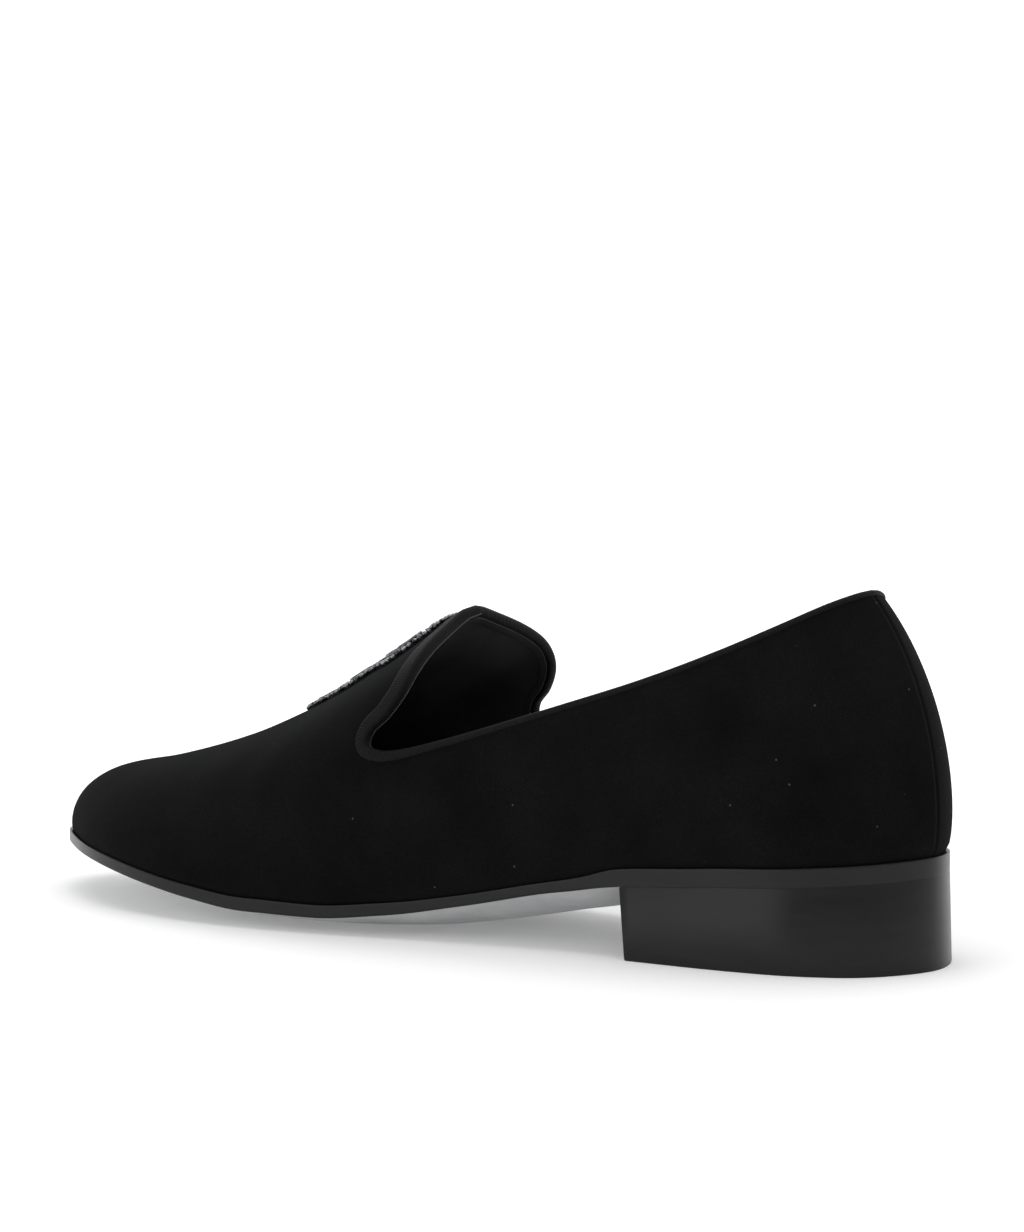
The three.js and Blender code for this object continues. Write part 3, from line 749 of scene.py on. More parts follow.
def velvet_material():
    """Short black pile, with a brushed nap, a soft sheen and a few specks of lint."""
    material, tree, shader, coords = new_material("black_velvet")
    place = coords.outputs["Object"]
    nap = add_node(tree, "ShaderNodeTexNoise", {"Vector": place, "Scale": 45.0, "Detail": 4.0})
    fibre = add_node(tree, "ShaderNodeTexNoise", {"Vector": place, "Scale": 2600.0, "Detail": 2.0})
    tint = add_node(tree, "ShaderNodeMath", {
        0: nap.outputs["Fac"], 1: fibre.outputs["Fac"]}, operation="MULTIPLY")
    base = finish().velvet
    pile = add_ramp(tree, tint.outputs[0], times(base, 0.75), times(base, 1.6), 0.10, 0.42)
    cells = add_node(tree, "ShaderNodeTexVoronoi", {"Vector": place, "Scale": 260.0})
    speck = add_node(tree, "ShaderNodeMath", {0: cells.outputs["Distance"], 1: 0.075}, operation="LESS_THAN")
    sparse = add_node(tree, "ShaderNodeSeparateColor", {"Color": cells.outputs["Color"]})
    chosen = add_node(tree, "ShaderNodeMath", {0: sparse.outputs["Red"], 1: 0.11}, operation="LESS_THAN")
    lint = add_node(tree, "ShaderNodeMath", {0: speck.outputs[0], 1: chosen.outputs[0]}, operation="MULTIPLY")
    mixed = add_node(tree, "ShaderNodeMix", {
        "Factor": lint.outputs[0], "A": pile, "B": (0.045, 0.047, 0.047, 1)}, data_type="RGBA")
    tree.links.new(mixed.outputs["Result"], shader.inputs["Base Color"])
    set_shader(
        shader, Roughness=1.0, Specular_IOR_Level=0.0, Sheen_Weight=0.038, Sheen_Roughness=0.42,
        Sheen_Tint=(0.90, 0.93, 0.93, 1))
    first = add_bump(tree, shader, nap.outputs["Fac"], 0.25, 0.0006)
    add_bump(tree, shader, fibre.outputs["Fac"], 0.55, 0.00012, first)
    return material


def lining_material():
    """Thin black lining leather with a fine grain."""
    material, tree, shader, coords = new_material("black_lining_leather")
    place = coords.outputs["Object"]
    grain = add_node(tree, "ShaderNodeTexVoronoi", {"Vector": place, "Scale": 1300.0})
    cloud = add_node(tree, "ShaderNodeTexNoise", {"Vector": place, "Scale": 60.0, "Detail": 3.0})
    base = finish().lining
    colour = add_ramp(tree, cloud.outputs["Fac"], times(base, 0.7), times(base, 1.4), 0.3, 0.7)
    tree.links.new(colour, shader.inputs["Base Color"])
    set_shader(shader, Roughness=0.62, Specular_IOR_Level=0.30)
    first = add_bump(tree, shader, cloud.outputs["Fac"], 0.2, 0.0006)
    add_bump(tree, shader, grain.outputs["Distance"], 0.3, 0.00008, first)
    return material


def ribbon_material():
    """Ribbed black ribbon: ribs run across it, with painted shade in the grooves and painted highlight on the
    crests, and it folds over the opening's edge.
    """
    material, tree, shader, coords = new_material("black_ribbed_ribbon")
    split = add_node(tree, "ShaderNodeSeparateXYZ", {"Vector": coords.outputs["UV"]})
    turn = add_node(tree, "ShaderNodeMath", {
        0: split.outputs["X"], 1: 2 * math.pi * 0.01 / sizes().rib_pitch}, operation="MULTIPLY")
    rib = add_node(tree, "ShaderNodeMath", {0: turn.outputs[0]}, operation="SINE")
    height = add_node(tree, "ShaderNodeMath", {0: rib.outputs[0], 1: 0.5, 2: 0.5}, operation="MULTIPLY_ADD")
    cloud = add_node(tree, "ShaderNodeTexNoise", {
        "Vector": coords.outputs["Object"], "Scale": 700.0, "Detail": 2.0})
    base = finish().ribbon
    # Painted shade and highlight: the colour is darker in the ribs' grooves and lighter on their crests.
    colour = add_ramp(tree, height.outputs[0], times(base, 0.45), times(base, 1.7))
    tree.links.new(colour, shader.inputs["Base Color"])
    set_shader(
        shader, Roughness=0.60, Specular_IOR_Level=0.09, Sheen_Weight=0.018, Sheen_Roughness=0.4,
        Sheen_Tint=(0.85, 0.88, 0.9, 1))
    first = add_bump(tree, shader, height.outputs[0], 0.8, 0.00012)
    add_bump(tree, shader, cloud.outputs["Fac"], 0.2, 0.0001, first)
    return material


def thread_material(name, colour, roughness=0.5):
    """Twisted sewing thread."""
    material, tree, shader, coords = new_material(name)
    twist = add_node(tree, "ShaderNodeTexNoise", {"Vector": coords.outputs["Object"], "Scale": 5000.0})
    shade = add_ramp(tree, twist.outputs["Fac"], times(colour, 0.6), times(colour, 1.4), 0.35, 0.65)
    tree.links.new(shade, shader.inputs["Base Color"])
    set_shader(shader, Roughness=roughness, Specular_IOR_Level=0.4)
    add_bump(tree, shader, twist.outputs["Fac"], 0.4, 0.00005)
    return material


def satin_material(name, colour, roughness, streak, specular=0.5):
    """Dyed and burnished sole or heel: fine level streaks under a satin dressing."""
    material, tree, shader, coords = new_material(name)
    stretch = add_node(tree, "ShaderNodeMapping", {
        "Vector": coords.outputs["Object"], "Scale": (1.0, 1.0, streak)})
    lines = add_node(tree, "ShaderNodeTexNoise", {
        "Vector": stretch.outputs["Vector"], "Scale": 55.0, "Detail": 5.0, "Roughness": 0.6})
    grain = add_node(tree, "ShaderNodeTexNoise", {
        "Vector": coords.outputs["Object"], "Scale": 1800.0, "Detail": 2.0})
    shade = add_ramp(tree, lines.outputs["Fac"], times(colour, 0.82), times(colour, 1.22), 0.3, 0.7)
    tree.links.new(shade, shader.inputs["Base Color"])
    rough = add_node(tree, "ShaderNodeMapRange", {
        "Value": lines.outputs["Fac"], "To Min": roughness * 0.85, "To Max": roughness * 1.15})
    tree.links.new(rough.outputs["Result"], shader.inputs["Roughness"])
    set_shader(shader, Specular_IOR_Level=specular)
    first = add_bump(tree, shader, lines.outputs["Fac"], 0.10, 0.0002)
    add_bump(tree, shader, grain.outputs["Fac"], 0.12, 0.00004, first)
    return material


def shiny_material(name, colour, roughness, metallic, spread=(0.45, 1.9)):
    """Beads, sequins, stones and coiled wire, each batch a little uneven."""
    material, tree, shader, coords = new_material(name)
    batch = add_node(tree, "ShaderNodeTexNoise", {
        "Vector": coords.outputs["Object"], "Scale": 560.0, "Detail": 1.0})
    dark, bright = (times(colour, factor) for factor in spread)
    shade = add_ramp(tree, batch.outputs["Fac"], dark, bright, 0.40, 0.60)
    tree.links.new(shade, shader.inputs["Base Color"])
    set_shader(shader, Roughness=roughness, Metallic=metallic, Specular_IOR_Level=0.7)
    add_bump(tree, shader, batch.outputs["Fac"], 0.08, 0.0002)
    return material


def floor_material():
    """Plain pale studio floor; it glows, more weakly near the shoe, which paints a shadow round it."""
    material, tree, shader, coords = new_material("pale_floor")
    cloud = add_node(tree, "ShaderNodeTexNoise", {"Vector": coords.outputs["Object"], "Scale": 2.0})
    base = finish().floor
    shade = add_ramp(tree, cloud.outputs["Fac"], times(base, 0.995), base)
    tree.links.new(shade, shader.inputs["Base Color"])
    set_shader(shader, Roughness=0.9, Specular_IOR_Level=0.1, Emission_Color=(1, 1, 1, 1))
    # Painted shadow: the glow rises from 0.16 near the shoe to 0.46 farther off, so the floor is darker round
    # the shoe.
    away = add_node(tree, "ShaderNodeVectorMath", {0: coords.outputs["Object"]}, operation="LENGTH")
    glow_with_painted_shadow = add_node(tree, "ShaderNodeMapRange", {
        "Value": away.outputs["Value"], "From Min": 0.14, "From Max": 0.50, "To Min": 0.16, "To Max": 0.46})
    tree.links.new(glow_with_painted_shadow.outputs["Result"], shader.inputs["Emission Strength"])
    return material


# Geometry Nodes
def group_tree(name, inputs):
    """A node tree for a modifier, with its named inputs."""
    tree = bpy.data.node_groups.new(name, "GeometryNodeTree")
    tree.interface.new_socket("Geometry", in_out="INPUT", socket_type="NodeSocketGeometry")
    for label, kind, value in inputs:
        socket = tree.interface.new_socket(label, in_out="INPUT", socket_type=kind)
        if value is not None:
            socket.default_value = value
    tree.interface.new_socket("Geometry", in_out="OUTPUT", socket_type="NodeSocketGeometry")
    start = tree.nodes.new("NodeGroupInput")
    end = tree.nodes.new("NodeGroupOutput")
    return tree, start.outputs, end.inputs


def close_tree(tree, instances, start, end):
    """Ends a tree with real geometry in its material."""
    real = add_node(tree, "GeometryNodeRealizeInstances", {"Geometry": instances})
    painted = add_node(tree, "GeometryNodeSetMaterial", {
        "Geometry": real.outputs["Geometry"], "Material": start["Material"]})
    tree.links.new(painted.outputs["Geometry"], end["Geometry"])


def along_path_tree():
    """Repeats a shape along lines at a pitch, turned to follow them."""
    tree, start, end = group_tree("Along path", [
        ("Shape", "NodeSocketObject", None),
        ("Pitch", "NodeSocketFloat", 0.002),
        ("Scale", "NodeSocketFloat", 1.0),
        ("Material", "NodeSocketMaterial", None),
    ])
    line = add_node(tree, "GeometryNodeMeshToCurve", {"Mesh": start["Geometry"]})
    steps = add_node(tree, "GeometryNodeResampleCurve", {
        "Curve": line.outputs["Curve"], "Length": start["Pitch"]}, mode="LENGTH")
    tangent = add_node(tree, "GeometryNodeInputTangent")
    turn = add_node(tree, "FunctionNodeAlignRotationToVector", {
        "Vector": tangent.outputs["Tangent"]}, axis="X")
    shape = add_node(tree, "GeometryNodeObjectInfo", {"Object": start["Shape"]})
    repeat = add_node(tree, "GeometryNodeInstanceOnPoints", {
        "Points": steps.outputs["Curve"], "Instance": shape.outputs["Geometry"],
        "Rotation": turn.outputs["Rotation"], "Scale": start["Scale"]})
    close_tree(tree, repeat.outputs["Instances"], start, end)
    return tree


def on_points_tree():
    """Sets a shape on each point, standing on the point's own normal and at its own size."""
    tree, start, end = group_tree("On points", [
        ("Shape", "NodeSocketObject", None),
        ("Scale", "NodeSocketFloat", 1.0),
        ("Tilt", "NodeSocketFloat", 0.0),
        ("Seed", "NodeSocketInt", 0),
        ("Material", "NodeSocketMaterial", None),
    ])
    normal = add_node(tree, "GeometryNodeInputNamedAttribute", {"Name": "stand"}, data_type="FLOAT_VECTOR")
    size = add_node(tree, "GeometryNodeInputNamedAttribute", {"Name": "size"}, data_type="FLOAT")
    lean = add_node(tree, "FunctionNodeRandomValue", {
        "Min": (-1.0, -1.0, -1.0), "Max": (1.0, 1.0, 1.0), "Seed": start["Seed"]}, data_type="FLOAT_VECTOR")
    tilt = add_node(tree, "ShaderNodeVectorMath", {
        0: lean.outputs["Value"], "Scale": start["Tilt"]}, operation="SCALE")
    stand = add_node(tree, "ShaderNodeVectorMath", {
        0: normal.outputs["Attribute"], 1: tilt.outputs["Vector"]}, operation="ADD")
    turn = add_node(tree, "FunctionNodeAlignRotationToVector", {"Vector": stand.outputs["Vector"]}, axis="Z")
    scale = add_node(tree, "ShaderNodeMath", {0: size.outputs["Attribute"], 1: start["Scale"]},
                     operation="MULTIPLY")
    shape = add_node(tree, "GeometryNodeObjectInfo", {"Object": start["Shape"]})
    repeat = add_node(tree, "GeometryNodeInstanceOnPoints", {
        "Points": start["Geometry"], "Instance": shape.outputs["Geometry"],
        "Rotation": turn.outputs["Rotation"], "Scale": scale.outputs[0]})
    close_tree(tree, repeat.outputs["Instances"], start, end)
    return tree


def grown(name, carrier, tree, values):
    """Runs a tree on a carrier mesh and keeps the result as a plain mesh."""
    obj = bpy.data.objects.new(name, carrier)
    bpy.context.scene.collection.objects.link(obj)
    modifier = obj.modifiers.new(name, "NODES")
    modifier.node_group = tree
    for item in tree.interface.items_tree:
        if item.item_type == "SOCKET" and item.in_out == "INPUT" and item.name in values:
            modifier[item.identifier] = values[item.name]
    depsgraph = bpy.context.evaluated_depsgraph_get()
    mesh = bpy.data.meshes.new_from_object(obj.evaluated_get(depsgraph), depsgraph=depsgraph)
    obj.modifiers.remove(modifier)
    if not mesh.polygons:
        raise RuntimeError(f"{name} came out empty")
    obj.data = mesh
    mesh.name = name
    mesh.polygons.foreach_set("use_smooth", [True] * len(mesh.polygons))
    return obj


def point_cloud(name, points, normals, radii):
    """A mesh of loose points that carry their normals and sizes."""
    mesh = bpy.data.meshes.new(name)
    mesh.from_pydata([tuple(p) for p in points], [], [])
    stand = mesh.attributes.new("stand", "FLOAT_VECTOR", "POINT")
    stand.data.foreach_set("vector", np.asarray(normals, np.float32).ravel())
    size = mesh.attributes.new("size", "FLOAT", "POINT")
    size.data.foreach_set("value", np.asarray(radii, np.float32))
    return mesh


def line_mesh(name, lines):
    """A mesh of loose edges along lines of points."""
    points, edges = [], []
    for line in lines:
        start = len(points)
        points.extend(tuple(p) for p in line)
        edges.extend((start + i, start + i + 1) for i in range(len(line) - 1))
    mesh = bpy.data.meshes.new(name)
    mesh.from_pydata(points, edges, [])
    return mesh


def turned_shape(name, profile, sides):
    """A small shape turned round Z from pairs of radius and height, as an object to repeat."""
    points = []
    for radius, height in profile:
        for k in range(sides):
            angle = 2 * math.pi * k / sides
            points.append((radius * math.cos(angle), radius * math.sin(angle), height))
    points, faces, _ = weld(np.array(points), ring_faces(len(profile), sides))
    mesh = bpy.data.meshes.new(name)
    mesh.from_pydata([tuple(p) for p in points], [], faces)
    return bpy.data.objects.new(name, mesh)


def laid_shape(name, profile, sides):
    """The same, lying along X."""
    shape = turned_shape(name, profile, sides)
    for vertex in shape.data.vertices:
        x, y, z = vertex.co
        vertex.co = (z, x, y)
    return shape


# Pieces
def sole_ring(last, along):
    """One section ring of the outsole, with its edges eased, and what each of its points is on."""
    edge = last.outline_point([along], -1)[0]
    seat = last.share_of(edge[0]) * last.s.sole_length < last.s.heel_length
    lower_ease = (0.03 if seat else 0.35) * MM
    upper_ease = 0.25 * MM
    turns = np.linspace(0, math.pi / 2, 4)
    cross = np.linspace(0, 1, 25)
    ring, kinds = [], []

    def rim(sign, inset):
        return last.outline_point([along], sign, inset)[0]

    def levels(point):
        return last.underside(point[:1], point[1:])[0], last.topside(point[:1], point[1:])[0]

    def run(sign, top):
        ease = upper_ease if top else lower_ease
        start, end = rim(-sign, ease), rim(sign, ease)
        for w in cross:
            point = start * (1 - w) + end * w
            low, high = levels(point)
            ring.append([*point, high if top else low])
            kinds.append("top" if top else "under")

    def corner(sign, top):
        ease = upper_ease if top else lower_ease
        arc = [(ease * (1 - math.sin(turn)), ease * (1 - math.cos(turn))) for turn in turns]
        arc.append((0.0, ease + 0.3 * MM))
        for inset, drop in arc[::-1] if top == (sign > 0) else arc:
            point = rim(sign, inset)
            low, high = levels(point)
            ring.append([*point, high - drop if top else low + drop])
            kinds.append("edge")

    run(1, False)
    corner(1, False)
    corner(1, True)
    run(-1, True)
    corner(-1, True)
    corner(-1, False)
    return np.array(ring), kinds


class LOAFER_OT_sole(bpy.types.Operator):
    """Builds the outsole with rounded, burnished edges"""

    bl_idname = "loafer.sole"
    bl_label = "Outsole"

    def execute(self, context):
        last = Last()
        colour = finish().sole
        edge = satin_material("burnished_sole_edge", colour, 0.32, 5.0, 0.20)
        # Painted reflection: the underside's pale grey stands in for the lit floor reflected in the black
        # sole leather.
        under = satin_material("sole_underside_painted_reflection", (0.38, 0.385, 0.39), 0.42, 1.0, 0.30)
        steps = np.concatenate([np.linspace(0, 0.06, 14), np.linspace(0.06, 0.92, 90)[1:],
                                np.linspace(0.92, 1, 18)[1:]])
        rings, kinds = [], None
        for along in steps:
            ring, kinds = sole_ring(last, along)
            rings.append(ring)
        columns = len(rings[0])
        points = np.vstack(rings)
        faces = ring_faces(len(rings), columns)
        below = [kinds[k] == kinds[(k + 1) % columns] == "under" for k in range(columns)]
        slots = [int(here) for here in below] * (len(rings) - 1)
        points, faces, keep = weld(points, faces)
        slots = np.array(slots)[keep]
        piece = make_piece("outsole_leather", last.place(points), faces, [edge, under], slots)
        outwards(piece)
        dress(piece, "sole", "outsole")
        return {"FINISHED"}


def outwards(obj):
    """Turns a closed piece's faces outwards."""
    mesh = obj.data
    co = np.zeros(len(mesh.vertices) * 3)
    mesh.vertices.foreach_get("co", co)
    co = co.reshape(-1, 3)
    volume = 0.0
    for face in mesh.polygons:
        ids = face.vertices
        a = co[ids[0]]
        for k in range(1, len(ids) - 1):
            volume += np.dot(a, np.cross(co[ids[k]], co[ids[k + 1]]))
    if volume < 0:
        mesh.flip_normals()


class LOAFER_OT_heel(bpy.types.Operator):
    """Builds the D-shaped heel block with eased edges"""

    bl_idname = "loafer.heel"
    bl_label = "Heel"

    def execute(self, context):
        last = Last()
        s = sizes()
        ease = 0.5 * MM
        breast = s.heel_length / s.sole_length
        rows = breast * (1 - np.cos(np.linspace(0, math.pi / 2, 40)))
        turns = np.linspace(0, math.pi / 2, 4)
        body = [(share, 0.0) for share in rows if share < breast - ease / s.sole_length]
        front = [
            (breast - ease * (1 - math.sin(t)) / s.sole_length, ease * (1 - math.cos(t))) for t in turns
        ]
        rings = []
        for share, inset in [*body, *front]:
            rings.append(heel_ring(last, share, breast, inset, ease))
        columns = len(rings[0])
        points = np.vstack(rings)
        faces = ring_faces(len(rings), columns)
        faces.append(tuple((len(rings) - 1) * columns + k for k in range(columns)))
        points, faces, _ = weld(points, faces)
        satin = satin_material("satin_heel", finish().heel, 0.32, 5.0, 0.20)
        piece = make_piece("heel_block", last.place(points), faces, [satin])
        outwards(piece)
        sharpened(piece, 50)
        dress(piece, "heel_block", "heel")
        return {"FINISHED"}


def heel_ring(last, share, breast, inset, ease):
    """One section ring of the heel: along the floor, up a side, along the top and down again."""
    s = last.s
    x = last.lengthwise(share)
    ahead = share / breast
    turns = np.linspace(0, math.pi / 2, 4)
    ring = []

    at_back = share <= 0
    low_x = x + s.heel_flare * (1 - ahead) + s.breast_rake * ahead

    def place(sign, w, pull):
        """Y at the floor and at the top for a share w across, in from the side by pull."""
        if at_back:
            return 0.0, 0.0
        wide = float(last.half_width(np.array([x]), np.array([sign * 1.0]))[0])
        low_y, top_y = (w * max(half - inset - pull, 0) * sign for half in (wide + s.heel_flare, wide))
        return low_y, top_y

    def add(sign, w, level, pull):
        low_y, top_y = place(sign, w, pull)
        roof = float(last.underside(np.array([x]), np.array([top_y]))[0])
        if level == "floor":
            ring.append([low_x, low_y, inset])
        elif level == "roof":
            ring.append([x, top_y, roof - inset])
        else:
            height, over = level
            z = inset + height if over == "up" else roof - inset - height
            up = np.clip(z / roof, 0, 1)
            ring.append([low_x * (1 - up) + x * up, low_y * (1 - up) + top_y * up, z])

    cross = np.linspace(-1, 1, 21)
    for w in cross:
        add(-1 if w < 0 else 1, abs(w), "floor", ease)
    for turn in turns[1:]:
        add(1, 1, (ease * (1 - math.cos(turn)), "up"), ease * (1 - math.sin(turn)))
    add(1, 1, (0.12 * MM, "down"), 0.0)
    for w in cross[::-1]:
        add(-1 if w < 0 else 1, abs(w), "roof", 0.08 * MM)
    add(-1, 1, (0.12 * MM, "down"), 0.0)
    for turn in turns[::-1][:-1]:
        add(-1, 1, (ease * (1 - math.cos(turn)), "up"), ease * (1 - math.sin(turn)))
    return np.array(ring)


class LOAFER_OT_insole(bpy.types.Operator):
    """Builds the sock over the insole, with a padded heel seat"""

    bl_idname = "loafer.insole"
    bl_label = "Insole and sock"

    def execute(self, context):
        last = Last()
        s = sizes()
        leather = lining_material()
        leather.name = "sock_leather"
        inset = s.feather_inset + s.wall - 0.15 * MM
        along = np.linspace(0, 1, 120)
        cross = np.linspace(0, 1, 31)
        outer = last.outline_point(along, -1, inset)
        inner = last.outline_point(along, 1, inset)
        grid = outer[:, None, :] * (1 - cross)[None, :, None] + inner[:, None, :] * cross[None, :, None]
        flat = grid.reshape(-1, 2)
        low = last.topside(flat[:, 0], flat[:, 1]) + 0.05 * MM
        share = last.share_of(flat[:, 0])
        swell = 0.9 * MM * np.clip(1 - (share / 0.30) ** 6, 0, 1) * (1 - last.across(*flat.T) ** 4)
        high = low + s.insole_thickness + 0.25 * MM + swell
        columns = len(cross)
        bottom = np.column_stack([flat, low])
        top = np.column_stack([flat, high])
        points = np.vstack([bottom, top])
        count = len(flat)
        faces = grid_faces(len(along), columns)
        faces += [f[::-1] for f in grid_faces(len(along), columns, count)]
        for i in range(len(along) - 1):
            for k in (0, columns - 1):
                a, b = i * columns + k, (i + 1) * columns + k
                faces.append((a, b, b + count, a + count)[:: 1 if k else -1])
        points, faces, _ = weld(points, faces)
        piece = make_piece("sock_lining", last.place(points), faces, [leather])
        outwards(piece)
        sharpened(piece, 60)
        dress(piece, "sock", "insole")
        return {"FINISHED"}


class LOAFER_OT_upper(bpy.types.Operator):
    """Builds the velvet upper with its lining, back seam and soft creases"""

    bl_idname = "loafer.upper"
    bl_label = "Velvet upper"

    def execute(self, context):
        last = Last()
        s = sizes()
        along = np.concatenate([
            np.linspace(0, 0.012, 9), np.linspace(0.012, 0.9, 150)[1:], np.linspace(0.9, 1, 40)[1:]])
        climbs = np.linspace(0, 1, 60)
        points, faces = upper_grid(last, along, climbs)
        points = points + vertex_normals(points, faces) * upper_relief(last, points)[:, None]
        points, faces = trimmed(points, faces, last.mouth_depth(points, 0.45))
        normals = vertex_normals(points, faces)
        centre = np.abs(points[:, 1]) < 1e-7
        normals[centre, 1] = 0
        normals = unit(normals)
        count = len(points)
        inner = points - normals * s.wall
        shell = [*faces, *[[i + count for i in face[::-1]] for face in faces]]
        slots = [0] * len(faces) + [1] * len(faces)
        for a, b in rim_edges(faces):
            shell.append([b, a, a + count, b + count])
            slots.append(1)
        materials = [velvet_material(), lining_material()]
        piece = make_piece("velvet_upper", last.place(np.vstack([points, inner])), shell, materials, slots)
        sharpened(piece, 60)
        dress(piece, "velvet", "upper")
        seam = back_seam(last)
        thread = thread_material("black_thread", (0.020, 0.020, 0.021))
        stitch = laid_shape("stitch", [(0, -0.8), (0.6, -0.65), (0.95, 0), (0.6, 0.65), (0, 0.8)], 5)
        stitches = grown("back_seam_stitches", line_mesh("seam", seam), along_path_tree(), {
            "Shape": stitch, "Pitch": s.stitch_pitch * 0.8, "Scale": 0.00016, "Material": thread})
        dress(stitches, "velvet")
        return {"FINISHED"}


def upper_grid(last, along, climbs):
    """Both sides of the upper's outer face, joined along the ridge, the back and the toe."""
    points, faces = [], []
    for sign in (-1, 1):
        grid = last.surface(along, climbs, sign)
        start = sum(len(p) for p in points)
        sheet = grid_faces(len(along), len(climbs), start)
        faces += [f[::-1] for f in sheet] if sign < 0 else sheet
        points.append(grid.reshape(-1, 3))
    points = np.vstack(points)
    points, faces, _ = weld(points, faces)
    return points, faces


def soft(distance, width):
    """A soft bump of height 1 that dies away over width."""
    return np.exp(-(distance / width) ** 2)


def upper_relief(last, points):
    """How far the velvet stands off its last: a sewn back seam and soft hollows of the cloth."""
    x, y, z = points.T
    share = last.share_of(x)
    back = (share < 0.30)
    seam = back * (-0.28 * MM * soft(y, 0.42 * MM) + 0.07 * MM * soft(np.abs(y) - 1.4 * MM, 0.9 * MM))
    side = np.where(y < 0, 0.0, 1.7)
    lift = (z - last.topside(x, y)) / 0.05
    fold = np.sin(share * 34 + lift * 1.9 + side) * soft(share - 0.47, 0.10) * soft(lift - 0.62, 0.40)
    vamp = np.sin(share * 58 - lift * 2.4 + side) * soft(share - 0.66, 0.07) * soft(lift - 0.55, 0.45)
    seat = np.sin(z / 0.0085 + share * 5 + side) * soft(share - 0.20, 0.10) * soft(lift - 0.9, 0.5)
    return seam + 0.22 * MM * fold + 0.12 * MM * vamp + 0.10 * MM * seat


def back_seam(last):
    """Two lines of stitches beside the seam at the heel's back."""
    from_seam = 1.3 * MM
    centre = last.surface(np.array([0.0]), np.linspace(0.03, 0.62, 120), -1)[0]
    centre = centre[last.mouth_depth(centre, 1.0) > 0.2 * MM]
    lines = []
    for side in (-1, 1):
        line, _ = last.wall_at(centre[:, 0] - 0.35 * MM, centre[:, 2], side)
        line[:, 1] = side * from_seam
        lines.append(last.place(line))
    return lines


class LOAFER_OT_binding(bpy.types.Operator):
    """Builds the ribbed ribbon folded over the topline, with its stitches"""

    bl_idname = "loafer.binding"
    bl_label = "Topline binding"

    def execute(self, context):
        last = Last()
        s = sizes()
        crest = 0.95 * MM
        middle = -s.wall / 2
        half = s.wall / 2 + s.binding_proud
        roll = np.linspace(0, math.pi, 11)
        line = [(1.0, None, -0.10 * MM), (1.0, -0.10 * MM, 0.26 * MM), (1.0, -0.32 * MM, 0.44 * MM)]
        line += [(share, None, s.binding_proud) for share in (0.75, 0.55)]
        line += [(0.0, crest * (1 - math.sin(t)), middle + half * math.cos(t)) for t in roll]
        inner_start = len(line)
        line += [(share, None, middle - half) for share in (SELVEDGE_SHARE, 0.62, 0.80)]
        line += [(1.0, -0.32 * MM, middle - half + 0.06 * MM), (1.0, -0.10 * MM, middle - half + 0.24 * MM),
                 (1.0, None, -s.wall + 0.15 * MM)]
        rows = binding_rows(last, line, BINDING_STATIONS)
        ring = np.concatenate([rows[-1], rows[1][::-1][1:-1]], axis=0)
        stations, columns = ring.shape[:2]
        faces = grid_faces(stations, columns, wrap=True)
        middle_line = ring[:, len(line) // 2]
        run = np.concatenate([[0], np.cumsum(np.linalg.norm(np.diff(middle_line, axis=0), axis=1))])
        across = np.concatenate([[0], np.cumsum(np.linalg.norm(np.diff(ring[0], axis=0), axis=1))])
        points = last.place(ring.reshape(-1, 3))
        closing = [((stations - 1) * columns + k, k, k + 1, (stations - 1) * columns + k + 1)
                   for k in range(columns - 1)]
        faces = [f for f in faces if f not in closing] + closing
        slots = [1 if face[0] % columns >= inner_start else 0 for face in faces[:-len(closing)]]
        slots += [1 if k >= inner_start else 0 for k in range(columns - 1)]
        leather = bpy.data.materials["black_lining_leather"]
        uvs = np.stack(np.meshgrid(run / 0.01, across / 0.01, indexing="ij"), axis=-1).reshape(-1, 2)
        piece = make_piece("ribbon_binding", points, faces, [ribbon_material(), leather], slots, uvs)
        check_facing(piece)
        dress(piece, "ribbon", "topline_binding")

        thread = thread_material("ribbon_thread", (0.004, 0.004, 0.004), 0.8)
        stitch = laid_shape("stitch", [(0, -0.8), (0.6, -0.65), (1, 0), (0.6, 0.65), (0, 0.8)], 5)
        outer = binding_rows(last, [(1.0, -0.75 * MM, s.binding_proud + 0.03 * MM)], BINDING_STATIONS)
        lines = [last.place(outer[sign][:, 0]) for sign in (-1, 1)]
        stitches = grown("binding_stitches", line_mesh("binding_line", lines), along_path_tree(), {
            "Shape": stitch, "Pitch": s.stitch_pitch, "Scale": 0.00014, "Material": thread})
        dress(stitches, "ribbon")

        crest_edge = binding_rows(last, [(0.0, 0.42 * MM, -s.wall - 0.32 * MM)], BINDING_STATIONS)
        inner_edge = binding_rows(
            last, [(SELVEDGE_SHARE, 0.0, -s.wall - s.binding_proud - 0.02 * MM)], BINDING_STATIONS)
        lines = [last.place(crest_edge[-1][:, 0]), last.place(inner_edge[1][:, 0])]
        # Painted highlight: the selvedge thread is a real thread, but its pale grey on the black ribbon
        # stands for light caught along the binding's crest and inner edge.
        bright = thread_material("selvedge_thread_painted_highlight", (0.10, 0.10, 0.10), 0.45)
        bead = laid_shape("selvedge", [(0, -1.5), (0.7, -1.2), (1, 0), (0.7, 1.2), (0, 1.5)], 5)
        selvedge = grown("binding_selvedge", line_mesh("selvedge_line", lines), along_path_tree(), {
            "Shape": bead, "Pitch": 0.00070, "Scale": 0.00020, "Material": bright})
        dress(selvedge, "ribbon")
        return {"FINISHED"}


def check_facing(obj):
    """Turns an open band so that its faces point away from the wall's middle."""
    mesh = obj.data
    outward = 0.0
    centre = Vector(np.array([v.co for v in mesh.vertices]).mean(0))
    for face in mesh.polygons:
        if face.center.z > centre.z + 0.01:
            outward += face.normal.z * face.area
    if outward < 0:
        mesh.flip_normals()


